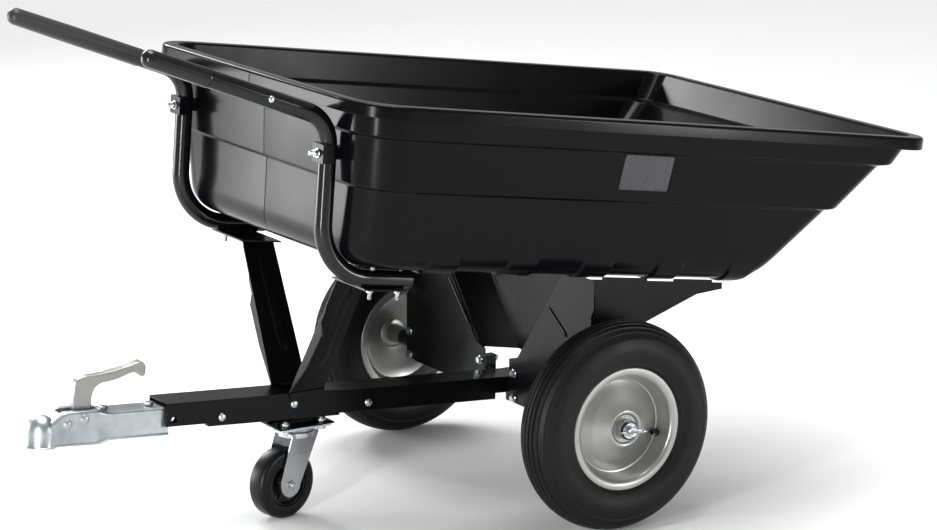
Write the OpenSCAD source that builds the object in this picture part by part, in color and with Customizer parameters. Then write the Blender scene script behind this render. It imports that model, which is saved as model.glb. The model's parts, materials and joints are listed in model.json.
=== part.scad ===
// Tow behind cart: a rigid two-wheeled cart with a moulded tray, wheelbarrow handles,
// a ball coupling on a steel drawbar, and a swivelling castor that carries the nose.
// +X runs forward to the coupling, +Y to the cart's left, +Z up. The ground is z = 0.

/* [Wheels] */
// Outside diameter of a road tyre
tyre_d = 400; // [380:1:410]
// Width of a road tyre
tyre_w = 100; // [90:1:104]
// Half of the track, from the middle of the cart to the middle of a tyre
half_track = 394; // [390:1:400]
// Diameter of the wheel's pressed rim over its flanges
rim_d = 235; // [225:1:240]
// Diameter of the axle
axle_d = 20; // [18:1:22]

/* [Tray] */
// Length of the tray over its rim
tray_len = 1257; // [1230:1:1270]
// Width of the tray over its rim at the front
tray_front_w = 868; // [850:1:880]
// Width of the tray over its rim at the tail
tray_tail_w = 924; // [900:1:930]
// Depth of the tray, from the rim to the underside of the floor
tray_depth = 310; // [306:1:312]
// Thickness of the tray's walls
tray_wall = 4.5; // [4:0.1:6]
// Angle by which the tray is raised at the front
tray_tilt = 8.1; // [8:0.05:8.2]

/* [Frame] */
// Diameter of the side tubes
tube_d = 33; // [31:0.5:34]
// Distance of a side tube from the middle of the cart
tube_y = 281; // [275:1:285]
// Angle by which a handle rises from the plane of the tray's rim
handle_rise = 13.3; // [12:0.1:14]
// Width of the drawbar
bar_w = 74; // [72:1:76]
// Depth of the drawbar
bar_h = 50; // [48:1:52]
// Angle by which the drawbar rises to the front
bar_slope = 3.72; // [3.6:0.02:3.9]

/* [Castor] */
// Diameter of the castor's wheel
castor_d = 135; // [130:1:138]
// Width of the castor's wheel
castor_w = 42; // [38:1:44]
// Distance of the castor's axle from its swivel
castor_trail = 38; // [34:1:42]
// Angle at which the castor stands at rest
castor_turn = 13; // [0:1:20]

/* [Hidden] */
$fn = 48;

// Clearances
slip = 0.3;
running = 0.05;

// The cart is drawn from the axle and then moved so that its box is centred on the origin.
tray_tail_x = -701;
tray_front_x = tray_tail_x + tray_len;
rim_pivot_z = 782;

// Wheels
tyre_r = tyre_d / 2;
rim_r = rim_d / 2;
axle_r = axle_d / 2;
bead_r = 102;
hub_in = 12;
hub_out = 44;
bush_len = 20;
bush_r = 15;
washer_t = 3;
axle_half = half_track + hub_out + 17;
clip_y = axle_half - 8;

// Tray
lip_out = 25;
lip_drop = 24;
rim_crown = 6;
corner_r = 75;
ledge_1 = -60;
ledge_2 = -155;
rib_drop = 5;
floor_z = -tray_depth;

// Side tubes, in the plane of the tray: lower run, rise and handle
tube_r = tube_d / 2;
tube_wall = 3;
bend_swell = 0.1;
run_start_x = 335;
run_z = floor_z - rib_drop - tube_r;
foot_x = 521;
shoulder_x = 539;
shoulder_z = -46.5;
low_bend = 105;
top_bend = 65;
tube_end = 255;
handle_end = 390;
insert_r = tube_r - tube_wall - 0.2;
insert_in = 120;
grip_wall = 2.2;

// Sheet metal
sheet = 3;
bolt_r = 4;
bolt_head = 6.5;

// Drawbar, in its own frame: u runs along its top face, which is z = 0
bar_z = 214.3;
bar_front = 750.6;
bar_tail = -35;
lip_front = 664;
lip_tail = 35;
front_cut = 6;
channel_joint = 386;
channel_overlap = 110;
cross_bolts = [[636, -34], [484.6, -21], [324, -29.7]];
pin_hole = [733.8, -30.9];
pin_hole_r = 6.5;

// Coupling, in the drawbar's frame
coup_rear = 742;
coup_w = 56;
coup_wall = 3;
ball_u = 984;
ball_z = -40;
ball_r = 25;
cup_r = ball_r + 0.6;
cup_wall = 3.4;
cup_flange = 2.5;
cup_foot = 69;
lever_pin = [910.8, -19.2];
jaw_pin = [944.1, -25.8];
pin_r = 5;
top_bolts = [862, 770];

// Castor
castor_x = 462;
castor_r = castor_d / 2;
castor_plate_z = 178;
plate_len = 105;
plate_w = 86;
plate_bolt_x = 38;
plate_bolt_y = 30;
castor_bolt_r = 5;

// Struts
strut_front = 495;
strut_back = 421;
strut_tab = 11;
strut_top_y = 182;
strut_top_front = 475;
strut_top_back = 410;

// Cradle
wing_x = 14;
wing_y = 347;
wing_low = 166;
wing_edge = 45;
gap_top = 251;
side_y_in = 322;
side_rear = -290;
web_x = -47;
web_low_y = 39;
web_low_z = 280;
web_lean = 52;
web_step = 55;
cradle_bolt = [-22, 190];
clamp_y = [62, 334];
clamp_bolt_z = 25;
saddle_half_w = 9;

// Middle of the cart's length, from the tip of the coupling to the tail of the rim
nose_x = (ball_u + cup_r + cup_wall + cup_flange) * cos(bar_slope) + cup_foot * sin(bar_slope);
tail_x = tray_tail_x * cos(tray_tilt) + rim_crown * sin(tray_tilt);
x_mid = (nose_x + tail_x) / 2;

// ---------------------------------------------------------------- frames

module cart() translate([-x_mid, 0, 0]) children();

module tray_frame() cart() translate([0, 0, rim_pivot_z]) rotate([0, -tray_tilt, 0]) children();

module bar_frame() cart() translate([0, 0, bar_z]) rotate([0, -bar_slope, 0]) children();

module castor_frame() cart() translate([castor_x, 0, 0]) rotate([0, 0, castor_turn]) children();

module right_side() mirror([0, 1, 0]) children();

// Turns a solid of revolution about Z into one about Y
module along_y() rotate([-90, 0, 0]) children();

module black() color([0.03, 0.03, 0.035]) children();

module zinc() color([0.78, 0.8, 0.82]) children();

// ---------------------------------------------------------------- general shapes

module ring(r_out, r_in, h) {
    difference() {
        cylinder(r = r_out, h = h);
        translate([0, 0, -1]) cylinder(r = r_in, h = h + 2);
    }
}

// A bolt along +Z: the head is below z = 0, the nut starts at z = grip
module bolt(r, grip, head_r = 0, head_h = 0) {
    hr = head_r > 0 ? head_r : r * 1.75;
    hh = head_h > 0 ? head_h : r * 1.2;
    translate([0, 0, -hh]) cylinder(r = hr, h = hh, $fn = 6);
    cylinder(r = r, h = grip + hh + r * 0.8, $fn = 24);
    translate([0, 0, grip]) cylinder(r = hr, h = hh, $fn = 6);
}

// A carriage bolt along +Z with a domed head
module round_bolt(r, grip, head_r, spare = 3) {
    rotate_extrude() polygon([[0, -r * 1.1], [head_r * 0.6, -r * 0.9], [head_r, 0], [0, 0]]);
    cylinder(r = r, h = grip + r * 1.2 + spare, $fn = 24);
    translate([0, 0, grip]) cylinder(r = r * 1.75, h = r * 1.2, $fn = 6);
}

// ---------------------------------------------------------------- tray

// Outline of the tray at one level: front x, tail x, half widths, corner radii
function corner(cx, cy, r, a0, n) = [for (i = [0 : n]) let (a = a0 + 90 * i / n) [cx + r * cos(a), cy + r * sin(a)]];

side_steps = 8;
function between(a, b) = [for (k = [1 : side_steps - 1]) a + (b - a) * k / side_steps];
function outline(xf, xt, wf, wt, rf, rt) = concat(
    corner(xf - rf, wf - rf, rf, 0, 8),
    between([xf - rf, wf], [xt + rt, wt]),
    corner(xt + rt, wt - rt, rt, 90, 8),
    corner(xt + rt, -wt + rt, rt, 180, 8),
    between([xt + rt, -wt], [xf - rf, -wf]),
    corner(xf - rf, -wf + rf, rf, 270, 8));

// Each row is a level of the wall's outside: z, front x, tail x, half width front and tail
half_f = tray_front_w / 2 - lip_out;
half_t = tray_tail_w / 2 - lip_out;
front_in = tray_front_x - lip_out;
tail_in = tray_tail_x + lip_out;
// The wall turns into the floor on a curve that starts at foot_start and ends at foot_end.
foot_start = [floor_z + 50, 492.7, -449, 354, 355.5];
foot_corner = [floor_z, 489, -408, 341, 340.5];
foot_end = [floor_z, 429, -390, 303, 303];
foot_steps = 5;
foot_rows = [for (k = [0 : foot_steps]) let (t = k / foot_steps)
    foot_end * (1 - t) * (1 - t) + foot_corner * 2 * t * (1 - t) + foot_start * t * t];
wall_rows = concat(foot_rows, [
    [ledge_2 - 4, 500, -532, 381, 386],
    [ledge_2, 507, -549, 388, 395],
    [ledge_1 - 4, 518, -622, 398, 417],
    [ledge_1, 525, -646, 405, 426],
    [-5, front_in, tail_in, half_f, half_t]
]);
row_ledge_2 = wall_rows[foot_steps + 2];
row_ledge_1 = wall_rows[foot_steps + 3];

function level(row, off, dz, rf, rt) = [
    for (p = outline(row[1] + off, row[2] - off, row[3] + off, row[4] + off, rf + off, rt + off)) [p[0], p[1], row[0] + dz]];

// The rolled rim: how far out from the wall and how far below the rim's top
rim_steps = [[lip_out - 4, -5], [lip_out - 4, -lip_drop], [lip_out, -lip_drop], [lip_out, -rim_crown], [lip_out - 2, -1.5],
    [lip_out - 6, 0], [0, 0], [-tray_wall, -3]];
top_row = wall_rows[foot_steps + 5];

tray_rings = concat(
    [for (r = wall_rows) level(r, 0, 0, corner_r, 38)],
    [for (s = rim_steps) level([0, top_row[1], top_row[2], top_row[3], top_row[4]], s[0], s[1], corner_r, 38)],
    [for (i = [foot_steps + 4 : -1 : 1])
        level(wall_rows[i], -tray_wall, tray_wall * max(0.4, 1 - 0.6 * i / foot_steps), corner_r, 38)],
    [level(wall_rows[0], -tray_wall, tray_wall, corner_r, 38)]);

module tray_shell() {
    n = len(tray_rings[0]);
    m = len(tray_rings);
    points = [for (r = tray_rings) each r];
    sides = [for (j = [0 : m - 2], i = [0 : n - 1]) let (k = (i + 1) % n) [j * n + i, (j + 1) * n + i, (j + 1) * n + k, j * n + k]];
    quads = [for (q = sides) each [[q[0], q[1], q[2]], [q[0], q[2], q[3]]]];
    floor_out = [for (i = [0 : n - 1]) i];
    floor_in = [for (i = [n - 1 : -1 : 0]) (m - 1) * n + i];
    polyhedron(points, concat(quads, [floor_out, floor_in]));
}

rib_centres = [304, 136, -29, -193, -345];
rib_len = 60;

// A rib under the floor that turns up round the lower edge on both sides
module tray_rib(x) {
    y_low = wall_rows[0][3] - 6;
    translate([x, 0, floor_z - rib_drop / 2 + 0.5]) cube([rib_len, 2 * y_low, rib_drop + 1], center = true);
}

module tray() {
    black() tray_frame() difference() {
        union() {
            tray_shell();
            for (x = rib_centres) tray_rib(x);
        }
        for (s = [-1, 1], x = strut_bolt_x) translate([x, s * tube_y, floor_z + tray_wall + 0.05])
            cylinder(r = 9.8, h = 12);
        for (s = [-1, 1], x = strut_bolt_x) translate([x, s * tube_y, floor_z - 10])
            cylinder(r = bolt_r + slip, h = 20);
        for (s = [-1, 1]) clamp_frame(s) rotate([0, 90, 0]) translate([0, 0, -50]) cylinder(r = bolt_r + slip, h = 40);
    }
}
label_x = -72;
label_z = -100;
label_len = 108;
label_h = 66;

// Half width of a level of the wall at a place along the tray
function side_y(row, x) = row[3] + (row[4] - row[3]) * (row[1] - x) / (row[1] - row[2]);
label_foot = side_y(row_ledge_2, label_x);
label_head = side_y(row_ledge_1, label_x);
label_y = label_foot + (label_head - label_foot) * (label_z - ledge_2) / (ledge_1 - 4 - ledge_2);
label_lean = atan((label_head - label_foot) / (ledge_1 - 4 - ledge_2));
label_taper = atan((side_y(row_ledge_2, -400) - side_y(row_ledge_2, 400)) / 800);

module tray_label() {
    color([0.2, 0.2, 0.21]) tray_frame() translate([label_x, label_y, label_z]) rotate([-label_lean, 0, -label_taper])
        translate([0, 1.6, 0]) cube([label_len, 1.2, label_h], center = true);
}

// ---------------------------------------------------------------- side tubes and handles

// A round tube through the corners of a path in the XZ plane, with a bend radius at each corner.
// The straights run a little way into the bends, which stand slightly proud of them.
function dir(a, b) = (b - a) / norm(b - a);
function turn(p, i) = let (d0 = dir(p[i - 1], p[i]), d1 = dir(p[i], p[i + 1])) atan2(d0[0] * d1[1] - d0[1] * d1[0], d0 * d1);
function setback(p, r, i) = i <= 0 || i >= len(p) - 1 ? 0 : r[i] * tan(abs(turn(p, i)) / 2);
function heading(p, i) = let (d = dir(p[i], p[i + 1])) atan2(d[1], d[0]);

module tube_path(p, bends, r) {
    for (i = [0 : len(p) - 2]) {
        d = dir(p[i], p[i + 1]);
        a = p[i] + d * setback(p, bends, i);
        length = norm(p[i + 1] - p[i]) - setback(p, bends, i) - setback(p, bends, i + 1);
        under = i > 0 ? 1 : 0;
        over = i < len(p) - 2 ? 1 : 0;
        translate([a[0], 0, a[1]]) rotate([0, 90 - heading(p, i), 0]) translate([0, 0, -under])
            cylinder(r = r, h = length + under + over);
    }
    for (i = [1 : len(p) - 2]) {
        d = dir(p[i - 1], p[i]);
        s = p[i] - d * setback(p, bends, i);
        c = s + bends[i] * [-d[1], d[0]] * sign(turn(p, i));
        from = s - c;
        translate([c[0], 0, c[1]]) rotate([90, 0, 0]) rotate([0, 0, atan2(from[1], from[0]) + min(0, turn(p, i))])
            rotate_extrude(angle = abs(turn(p, i)), $fn = 96) translate([bends[i], 0]) circle(r = r + bend_swell);
    }
}

handle_dir = [cos(handle_rise), sin(handle_rise)];
shoulder = [shoulder_x, shoulder_z];
tube_points = [[run_start_x, run_z], [foot_x, run_z], shoulder, shoulder + handle_dir * tube_end];
tube_bends = [0, low_bend, top_bend, 0];
tube_lean = atan((shoulder_x - foot_x) / (shoulder_z - run_z));
clamp_z = -107;
clamp_x = shoulder_x - (shoulder_z - clamp_z) * tan(tube_lean);
clamp_half = 17;
clamp_seat = -28;
strut_bolt_x = [356, 414];
handle_bolt_at = 133;

module on_handle(s) {
    p = shoulder + handle_dir * s;
    translate([p[0], tube_y, p[1]]) rotate([0, 90 - handle_rise, 0]) children();
}

module side_tube_left() {
    black() tray_frame() difference() {
        translate([0, tube_y, 0]) tube_path(tube_points, tube_bends, tube_r);
        translate([0, tube_y, 0]) tube_path(tube_points, tube_bends, tube_r - tube_wall);
        for (x = strut_bolt_x) translate([x, tube_y, run_z - 30]) cylinder(r = bolt_r + slip, h = 60);
        on_handle(handle_bolt_at) rotate([90, 0, 0]) cylinder(r = bolt_r - 1 + slip, h = 60, center = true);
        clamp_frame(1) rotate([0, 90, 0]) cylinder(r = bolt_r + slip, h = 60, center = true);
    }
}

module handle_insert_left() {
    black() tray_frame() difference() {
        on_handle(tube_end - insert_in) cylinder(r = insert_r, h = handle_end - tube_end + insert_in - 22);
        on_handle(tube_end - insert_in - 1) cylinder(r = insert_r - tube_wall, h = handle_end - tube_end + insert_in);
        on_handle(handle_bolt_at) rotate([90, 0, 0]) cylinder(r = bolt_r - 1 + slip, h = 60, center = true);
    }
}

// A moulded sleeve with a closed round end
module handle_grip_left() {
    len_g = handle_end - tube_end;
    inside = insert_r + 0.15;
    color([0.12, 0.12, 0.125]) tray_frame() on_handle(tube_end + 0.5) rotate_extrude() polygon(concat(
        [[inside, 0], [tube_r, 0], [tube_r + 0.5, 4]],
        [for (k = [0 : 4]) [tube_r - 0.3 * k, 12 + k * (len_g - 40) / 4]],
        [for (k = [0 : 6]) let (a = 90 * k / 6) [(tube_r - 1.6) * cos(a), len_g - 15 + 14 * sin(a)]],
        [[0, len_g - 21], [inside, len_g - 21]]));
}

// A screw with a domed head, from the outside of each tube into the sleeve inside it
module handle_bolts() {
    zinc() for (s = [0, 1]) mirror([0, s, 0]) tray_frame() on_handle(handle_bolt_at) rotate([90, 0, 0])
        translate([0, 0, -tube_r - 0.3]) {
            rotate_extrude() polygon([[0, -3], [4, -2.4], [6.2, 0], [0, 0]]);
            cylinder(r = bolt_r - 1, h = 14, $fn = 24);
        }
}

module clamp_frame(s) {
    translate([clamp_x, s * tube_y, clamp_z]) rotate([0, tube_lean, 0]) children();
}

// A saddle in front of the tube and a pad behind it, with a bolt through both, the tube and the tray's wall
module tube_clamp_left() {
    out = tube_r + sheet + 0.2;
    black() tray_frame() clamp_frame(1) difference() {
        union() {
            translate([-4, -out, -clamp_half]) cube([out + 4, 2 * out, 2 * clamp_half]);
            translate([-tube_r - 4.6, -11, -11]) cube([8, 22, 22]);
        }
        cylinder(r = tube_r + 0.6, h = 80, center = true);
        translate([-5, -tube_r - 0.6, -40]) cube([6, 2 * tube_r + 1.2, 80]);
        rotate([0, 90, 0]) cylinder(r = bolt_r + slip, h = 80, center = true);
    }
}

module clamp_bolts() {
    zinc() tray_frame() for (s = [-1, 1]) clamp_frame(s) translate([clamp_seat, 0, 0]) rotate([0, 90, 0])
        round_bolt(bolt_r, tube_r + sheet + 0.4 - clamp_seat, 9, 13);
}

// ---------------------------------------------------------------- struts

strut_foot_y = bar_w / 2 + 0.1;
strut_foot_z = bar_z + (strut_front + strut_back) / 2 * tan(bar_slope) + 2;
strut_top_z = 486;

// Pressed leg: a tab on the drawbar's side, a slanting web with a flange along its front edge, and a top flange
module front_strut_left() {
    rise = strut_top_z - strut_foot_z;
    out = strut_top_y - strut_foot_y;
    slant = atan2(rise, out);
    leg = norm([rise, out]);
    black() cart() {
        translate([strut_back, strut_foot_y, strut_foot_z - strut_tab])
            cube([strut_front - strut_back, sheet, strut_tab + 1]);
        translate([0, strut_foot_y, strut_foot_z]) rotate([slant, 0, 0]) {
            linear_extrude(sheet) polygon([[strut_back, 0], [strut_front, 0], [strut_top_front, leg],
                [strut_top_back, leg]]);
            translate([strut_front - sheet, 0, 0]) rotate([0, 0, atan((strut_front - strut_top_front) / leg)])
                rotate([90, 0, 90]) linear_extrude(sheet)
                polygon([[0, 0], [leg * 0.3, -16], [leg * 0.6, -20], [leg * 0.66, -4], [leg * 0.75, -4],
                    [leg * 0.8, 0]]);
        }
        strut_top();
    }
}

module strut_top() {
    translate([0, 0, rim_pivot_z]) rotate([0, -tray_tilt, 0])
        translate([strut_top_back - 62, strut_top_y - 4, run_z - tube_r - sheet - 0.1]) difference() {
            cube([strut_front - strut_back + 14, tube_y + 22 - strut_top_y, sheet]);
            for (x = strut_bolt_x) translate([x - strut_top_back + 62, tube_y - strut_top_y + 4, -5])
                cylinder(r = bolt_r + slip, h = 12);
        }
}

module strut_bolts() {
    zinc() {
        for (s = [-1, 1], x = strut_bolt_x) tray_frame()
            translate([x, s * tube_y, floor_z + tray_wall + 0.2]) mirror([0, 0, 1])
                round_bolt(bolt_r, tray_wall + 0.2 + rib_drop + 2 * tube_r + sheet + 0.4, 9, 13);
    }
}

// ---------------------------------------------------------------- drawbar

// A channel open below, with lips along its lower edges
module channel(u0, u1, w, h, lip0, lip1) {
    inner = w - 2 * sheet;
    difference() {
        translate([u0, -w / 2, -h]) cube([u1 - u0, w, h]);
        translate([u0 - 1, -inner / 2, -h - 1]) cube([u1 - u0 + 2, inner, h + 1 - sheet]);
        if (u1 > lip1) translate([lip1, -w, -h - 1]) cube([u1 - lip1 + 1, 2 * w, front_cut + 1]);
        if (u0 < lip0) translate([u0 - 1, -w, -h - 1]) cube([lip0 - u0 + 1, 2 * w, 2 * front_cut + 1]);
    }
    for (s = [-1, 1]) translate([max(u0, lip0), s > 0 ? inner / 2 - 12 : -inner / 2, -h])
        cube([min(u1, lip1) - max(u0, lip0), 12, sheet]);
}

module cross_hole(p, r) translate([p[0], 0, p[1]]) rotate([90, 0, 0]) cylinder(r = r, h = 200, center = true);

module drawbar_front() {
    black() bar_frame() difference() {
        channel(channel_joint, bar_front, bar_w, bar_h, lip_tail, lip_front);
        for (p = [cross_bolts[0], cross_bolts[1]]) cross_hole(p, bolt_r + slip);
        cross_hole(pin_hole, pin_hole_r);
        for (x = [-1, 1], y = [-1, 1]) translate([castor_x + 15 + x * plate_bolt_x, y * plate_bolt_y, -bar_h - 5])
            cylinder(r = castor_bolt_r + 2, h = 12);
    }
}

rear_w = bar_w - 2 * sheet - 0.4;
rear_h = bar_h - 2 * sheet - 0.4;

module drawbar_rear() {
    black() difference() {
        bar_frame() difference() {
            translate([0, 0, -sheet - 0.2])
                channel(bar_tail, channel_joint + channel_overlap, rear_w, rear_h, lip_tail, lip_front);
            cross_hole(cross_bolts[1], bolt_r + slip);
            cross_hole(cross_bolts[2], bolt_r + slip);
        }
        cart() cross_hole([0, tyre_r], axle_r + slip);
        cart() cross_hole(cradle_bolt, bolt_r + slip);
    }
}

module drawbar_bolts() {
    zinc() bar_frame() for (p = cross_bolts) translate([p[0], bar_w / 2 + 0.1, p[1]]) rotate([90, 0, 0])
        round_bolt(bolt_r, bar_w + 0.2, 8);
}

// ---------------------------------------------------------------- coupling

tongue_w = coup_w - 2 * coup_wall - 1;
tongue_top = -15;
tongue_h = 28;

module coupling_tongue() {
    black() bar_frame() difference() {
        translate([590, -tongue_w / 2, tongue_top - tongue_h]) cube([290, tongue_w, tongue_h]);
        translate([589, -tongue_w / 2 + sheet, tongue_top - tongue_h - 1])
            cube([292, tongue_w - 2 * sheet, tongue_h + 1 - sheet]);
        cross_hole(cross_bolts[0], bolt_r + slip);
        cross_hole(pin_hole, pin_hole_r);
        for (u = top_bolts) translate([u, 0, -60]) cylinder(r = bolt_r + 1 + slip, h = 60);
    }
}

// Side outline of the pressed housing, and the same outline inside it
function housing_outline(t) = [
    [coup_rear - (t > 0 ? 5 : 0), -62 - (t > 0 ? 5 : 0)], [coup_rear - (t > 0 ? 5 : 0), -9 - t],
    [868, -9 - t], [882, -3 - t], [950 - t / 2, -3 - t], [976 - t, -20 - t], [976 - t, -62 - (t > 0 ? 5 : 0)]];

module coupling_housing() {
    zinc() bar_frame() difference() {
        union() {
            translate([0, coup_w / 2, 0]) rotate([90, 0, 0]) linear_extrude(coup_w) polygon(housing_outline(0));
            for (s = [-1, 1]) translate([coup_rear, s * coup_w / 2 - (s > 0 ? 1 : 2), -62]) cube([226, 3, 2.5]);
            translate([ball_u, 0, ball_z]) sphere(r = cup_r + cup_wall, $fn = 64);
            translate([ball_u, 0, -cup_foot]) cylinder(r = cup_r + cup_wall, h = cup_foot + ball_z);
            translate([ball_u, 0, -cup_foot]) cylinder(r = cup_r + cup_wall + cup_flange, h = 3);
        }
        translate([0, coup_w / 2 - coup_wall, 0]) rotate([90, 0, 0]) linear_extrude(coup_w - 2 * coup_wall)
            polygon(housing_outline(coup_wall));
        translate([ball_u, 0, ball_z]) sphere(r = cup_r, $fn = 64);
        translate([ball_u, 0, -80]) cylinder(r = cup_r, h = 80 + ball_z);
        translate([948, -coup_w / 2 + coup_wall + 3, -80]) cube([30, coup_w - 2 * coup_wall - 6, 54]);
        translate([874, -12, -20]) cube([82, 24, 40]);
        for (u = top_bolts) translate([u, 0, -60]) cylinder(r = bolt_r + 1 + slip, h = 80);
        for (p = [lever_pin, jaw_pin]) cross_hole(p, pin_r + 0.1);
    }
}

module coupling_bolts() {
    zinc() bar_frame() for (u = top_bolts) translate([u, 0, -8.8]) mirror([0, 0, 1])
        bolt(bolt_r + 1, 10);
}

module coupling_pins() {
    zinc() bar_frame() for (p = [lever_pin, jaw_pin]) translate([p[0], coup_w / 2 + 2.5, p[1]]) rotate([90, 0, 0]) {
        cylinder(r = pin_r, h = coup_w + 5);
        for (z = [0, coup_w + 2.6]) translate([0, 0, z]) cylinder(r = pin_r + 3.5, h = 2.4);
    }
}

// The cast lever: an upright head on the pin, and a hooked handle that runs back
lever_w = 18;

module coupling_lever() {
    zinc() bar_frame() difference() {
        translate([0, lever_w / 2, 0]) rotate([90, 0, 0]) linear_extrude(lever_w) union() {
            polygon([[lever_pin[0] - 14, lever_pin[1] - 4], [lever_pin[0] + 14, lever_pin[1] - 4], [926, 20],
                [924, 40], [914, 53], [898, 57], [880, 58], [850, 63], [815, 70], [795, 76], [787, 77], [780, 70],
                [779, 60], [783, 49], [790, 50], [798, 57], [815, 55], [835, 48], [860, 43], [876, 39], [885, 30],
                [890, 14]]);
            translate(lever_pin) circle(r = 14);
        }
        cross_hole(lever_pin, pin_r + running);
    }
}

// The clamp that holds the ball from behind
jaw_outline = concat(
    [for (k = [0 : 8]) let (a = 180 * k / 8) [jaw_pin[0] + 8.5 * cos(a), jaw_pin[1] + 8.5 * sin(a)]],
    [[943, -48], [950, -64], [962, -62], [959, -45]]);

module coupling_jaw() {
    zinc() bar_frame() difference() {
        translate([0, 15, 0]) rotate([90, 0, 0]) linear_extrude(30) polygon(jaw_outline);
        cross_hole([ball_u, ball_z], cup_r + 0.6);
        cross_hole(jaw_pin, pin_r + running);
    }
}

module coupling_spring() {
    color([0.35, 0.35, 0.37]) bar_frame() for (s = [-1, 1], k = [0 : 2])
        translate([lever_pin[0], s * (lever_w / 2 + 2.2 + 3 * k), lever_pin[1]]) rotate([90, 0, 0])
            rotate_extrude() translate([7.5, 0]) circle(r = 1.2, $fn = 16);
}

// ---------------------------------------------------------------- castor

module plate_holes(r) {
    for (x = [-1, 1], y = [-1, 1]) translate([x * plate_bolt_x, y * plate_bolt_y, -20]) cylinder(r = r, h = 60);
}

mount_gap = 10;

// Folded black plate between the drawbar and the castor
module castor_mount_plate() {
    black() cart() translate([castor_x, 0, castor_plate_z]) difference() {
        union() {
            translate([-plate_len / 2 - 6, -plate_w / 2 - 2, 0.1]) cube([plate_len + 12, plate_w + 4, sheet]);
            for (s = [-1, 1]) translate([-plate_len / 2, s * 19 - 1.5, 0.1]) cube([plate_len, sheet, mount_gap]);
        }
        plate_holes(castor_bolt_r + slip);
    }
}

module castor_top_plate() {
    zinc() cart() translate([castor_x, 0, castor_plate_z - 4]) difference() {
        translate([-plate_len / 2, -plate_w / 2, 0]) cube([plate_len, plate_w, 4]);
        plate_holes(castor_bolt_r + slip);
        translate([0, 0, -1]) cylinder(r = 7 + running, h = 10);
    }
}

module castor_plate_bolts() {
    zinc() cart() translate([castor_x, 0, castor_plate_z - 4.2]) for (x = [-1, 1], y = [-1, 1])
        translate([x * plate_bolt_x, y * plate_bolt_y, 0]) bolt(castor_bolt_r, 7.6);
}

module castor_kingpin() {
    zinc() cart() translate([castor_x, 0, race_z - 4.3]) {
        cylinder(r = 7, h = castor_plate_z - race_z + 4.3);
        translate([0, 0, -6]) cylinder(r = 12, h = 6, $fn = 6);
    }
}

race_z = castor_plate_z - 14;

module castor_race() {
    zinc() cart() translate([castor_x, 0, race_z]) rotate_extrude() polygon([[14, 0.2], [33, 0.2], [36, 4],
        [33, 9.8], [14, 9.8]]);
}

fork_gap = castor_w + 6;
crown_r = 36;
crown_drop = 9;
fork_end_r = 24;

module castor_fork() {
    leg_y = fork_gap / 2;
    zinc() castor_frame() difference() {
        union() {
            translate([0, 0, race_z - 4]) cylinder(r = crown_r, h = 4);
            difference() {
                translate([0, 0, race_z - crown_drop]) ring(crown_r, crown_r - sheet, crown_drop - 2);
                translate([0, -leg_y + 0.5, race_z - crown_drop - 1]) mirror([1, 0, 0]) cube([60, 2 * leg_y - 1, 60]);
                translate([-60, -60, race_z - 4]) cube([120, 120, 30]);
            }
            translate([0, -leg_y - sheet, race_z - 4]) cube([34, fork_gap + 2 * sheet, 4]);
            for (s = [-1, 1]) translate([0, s > 0 ? leg_y + sheet : -leg_y, 0]) rotate([90, 0, 0])
                linear_extrude(sheet) polygon(concat(
                    [[-34, race_z - 3], [-30, race_z], [30, race_z], [castor_trail + fork_end_r, castor_r + 8]],
                    [for (k = [0 : 9]) let (a = 8 - k * 20) [castor_trail + fork_end_r * cos(a), castor_r + fork_end_r * sin(a)]]));
        }
        translate([0, 0, race_z - 20]) cylinder(r = 7 + running, h = 40);
        translate([castor_trail, 0, castor_r]) rotate([90, 0, 0]) cylinder(r = 5.1, h = 100, center = true);
    }
}

module castor_axle_bolt() {
    zinc() castor_frame() translate([castor_trail, -fork_gap / 2 - sheet - 0.1, castor_r]) rotate([-90, 0, 0])
        bolt(5, fork_gap + 2 * sheet + 0.2);
}

module castor_tyre() {
    color([0.05, 0.05, 0.055]) castor_frame() translate([castor_trail, 0, castor_r]) along_y() rotate_extrude($fn = 96)
        polygon(concat([[42.2, -castor_w / 2 + 2], [48, -castor_w / 2]],
            [for (k = [0 : 6]) let (a = -90 + 30 * k) [castor_r - 12 + 12 * cos(a), (castor_w / 2 - 12) * sign(a + 0.01) + 12 * sin(a)]],
            [[48, castor_w / 2], [42.2, castor_w / 2 - 2]]));
}

module castor_hub() {
    half = castor_w / 2;
    color([0.06, 0.06, 0.065]) castor_frame() translate([castor_trail, 0, castor_r]) along_y() rotate_extrude()
        polygon([[10, -half - 2], [15, -half - 2], [15, -6], [36, -6], [38, -half + 4], [42, -half + 4], [42, half - 4],
            [38, half - 4], [36, 6], [15, 6], [15, half + 2], [10, half + 2]]);
}

module castor_bush() {
    color([0.7, 0.7, 0.66]) castor_frame() translate([castor_trail, -castor_w / 2 - 2.5, castor_r]) along_y()
        ring(9.9, 5 + running, castor_w + 5);
}

// ---------------------------------------------------------------- cradle and axle

floor_slope = tan(tray_tilt);
function under_floor(x) = rim_pivot_z - (tray_depth + rib_drop) / cos(tray_tilt) + x * floor_slope - 0.4;

// Everything above the underside of the tray's floor and its ribs
module above_floor() {
    translate([0, 0, rim_pivot_z]) rotate([0, -tray_tilt, 0]) {
        translate([-800, -600, floor_z - 0.4]) cube([1600, 1200, 900]);
        for (x = rib_centres) translate([x - rib_len / 2 - 1, -600, floor_z - rib_drop - 0.4])
            cube([rib_len + 2, 1200, rib_drop + 5]);
    }
}

// Where the edge of the wing's flat lies at one height
function flat_edge(z) = max(wing_edge, web_low_y + web_step + (z - web_low_z) / tan(web_lean));

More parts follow.
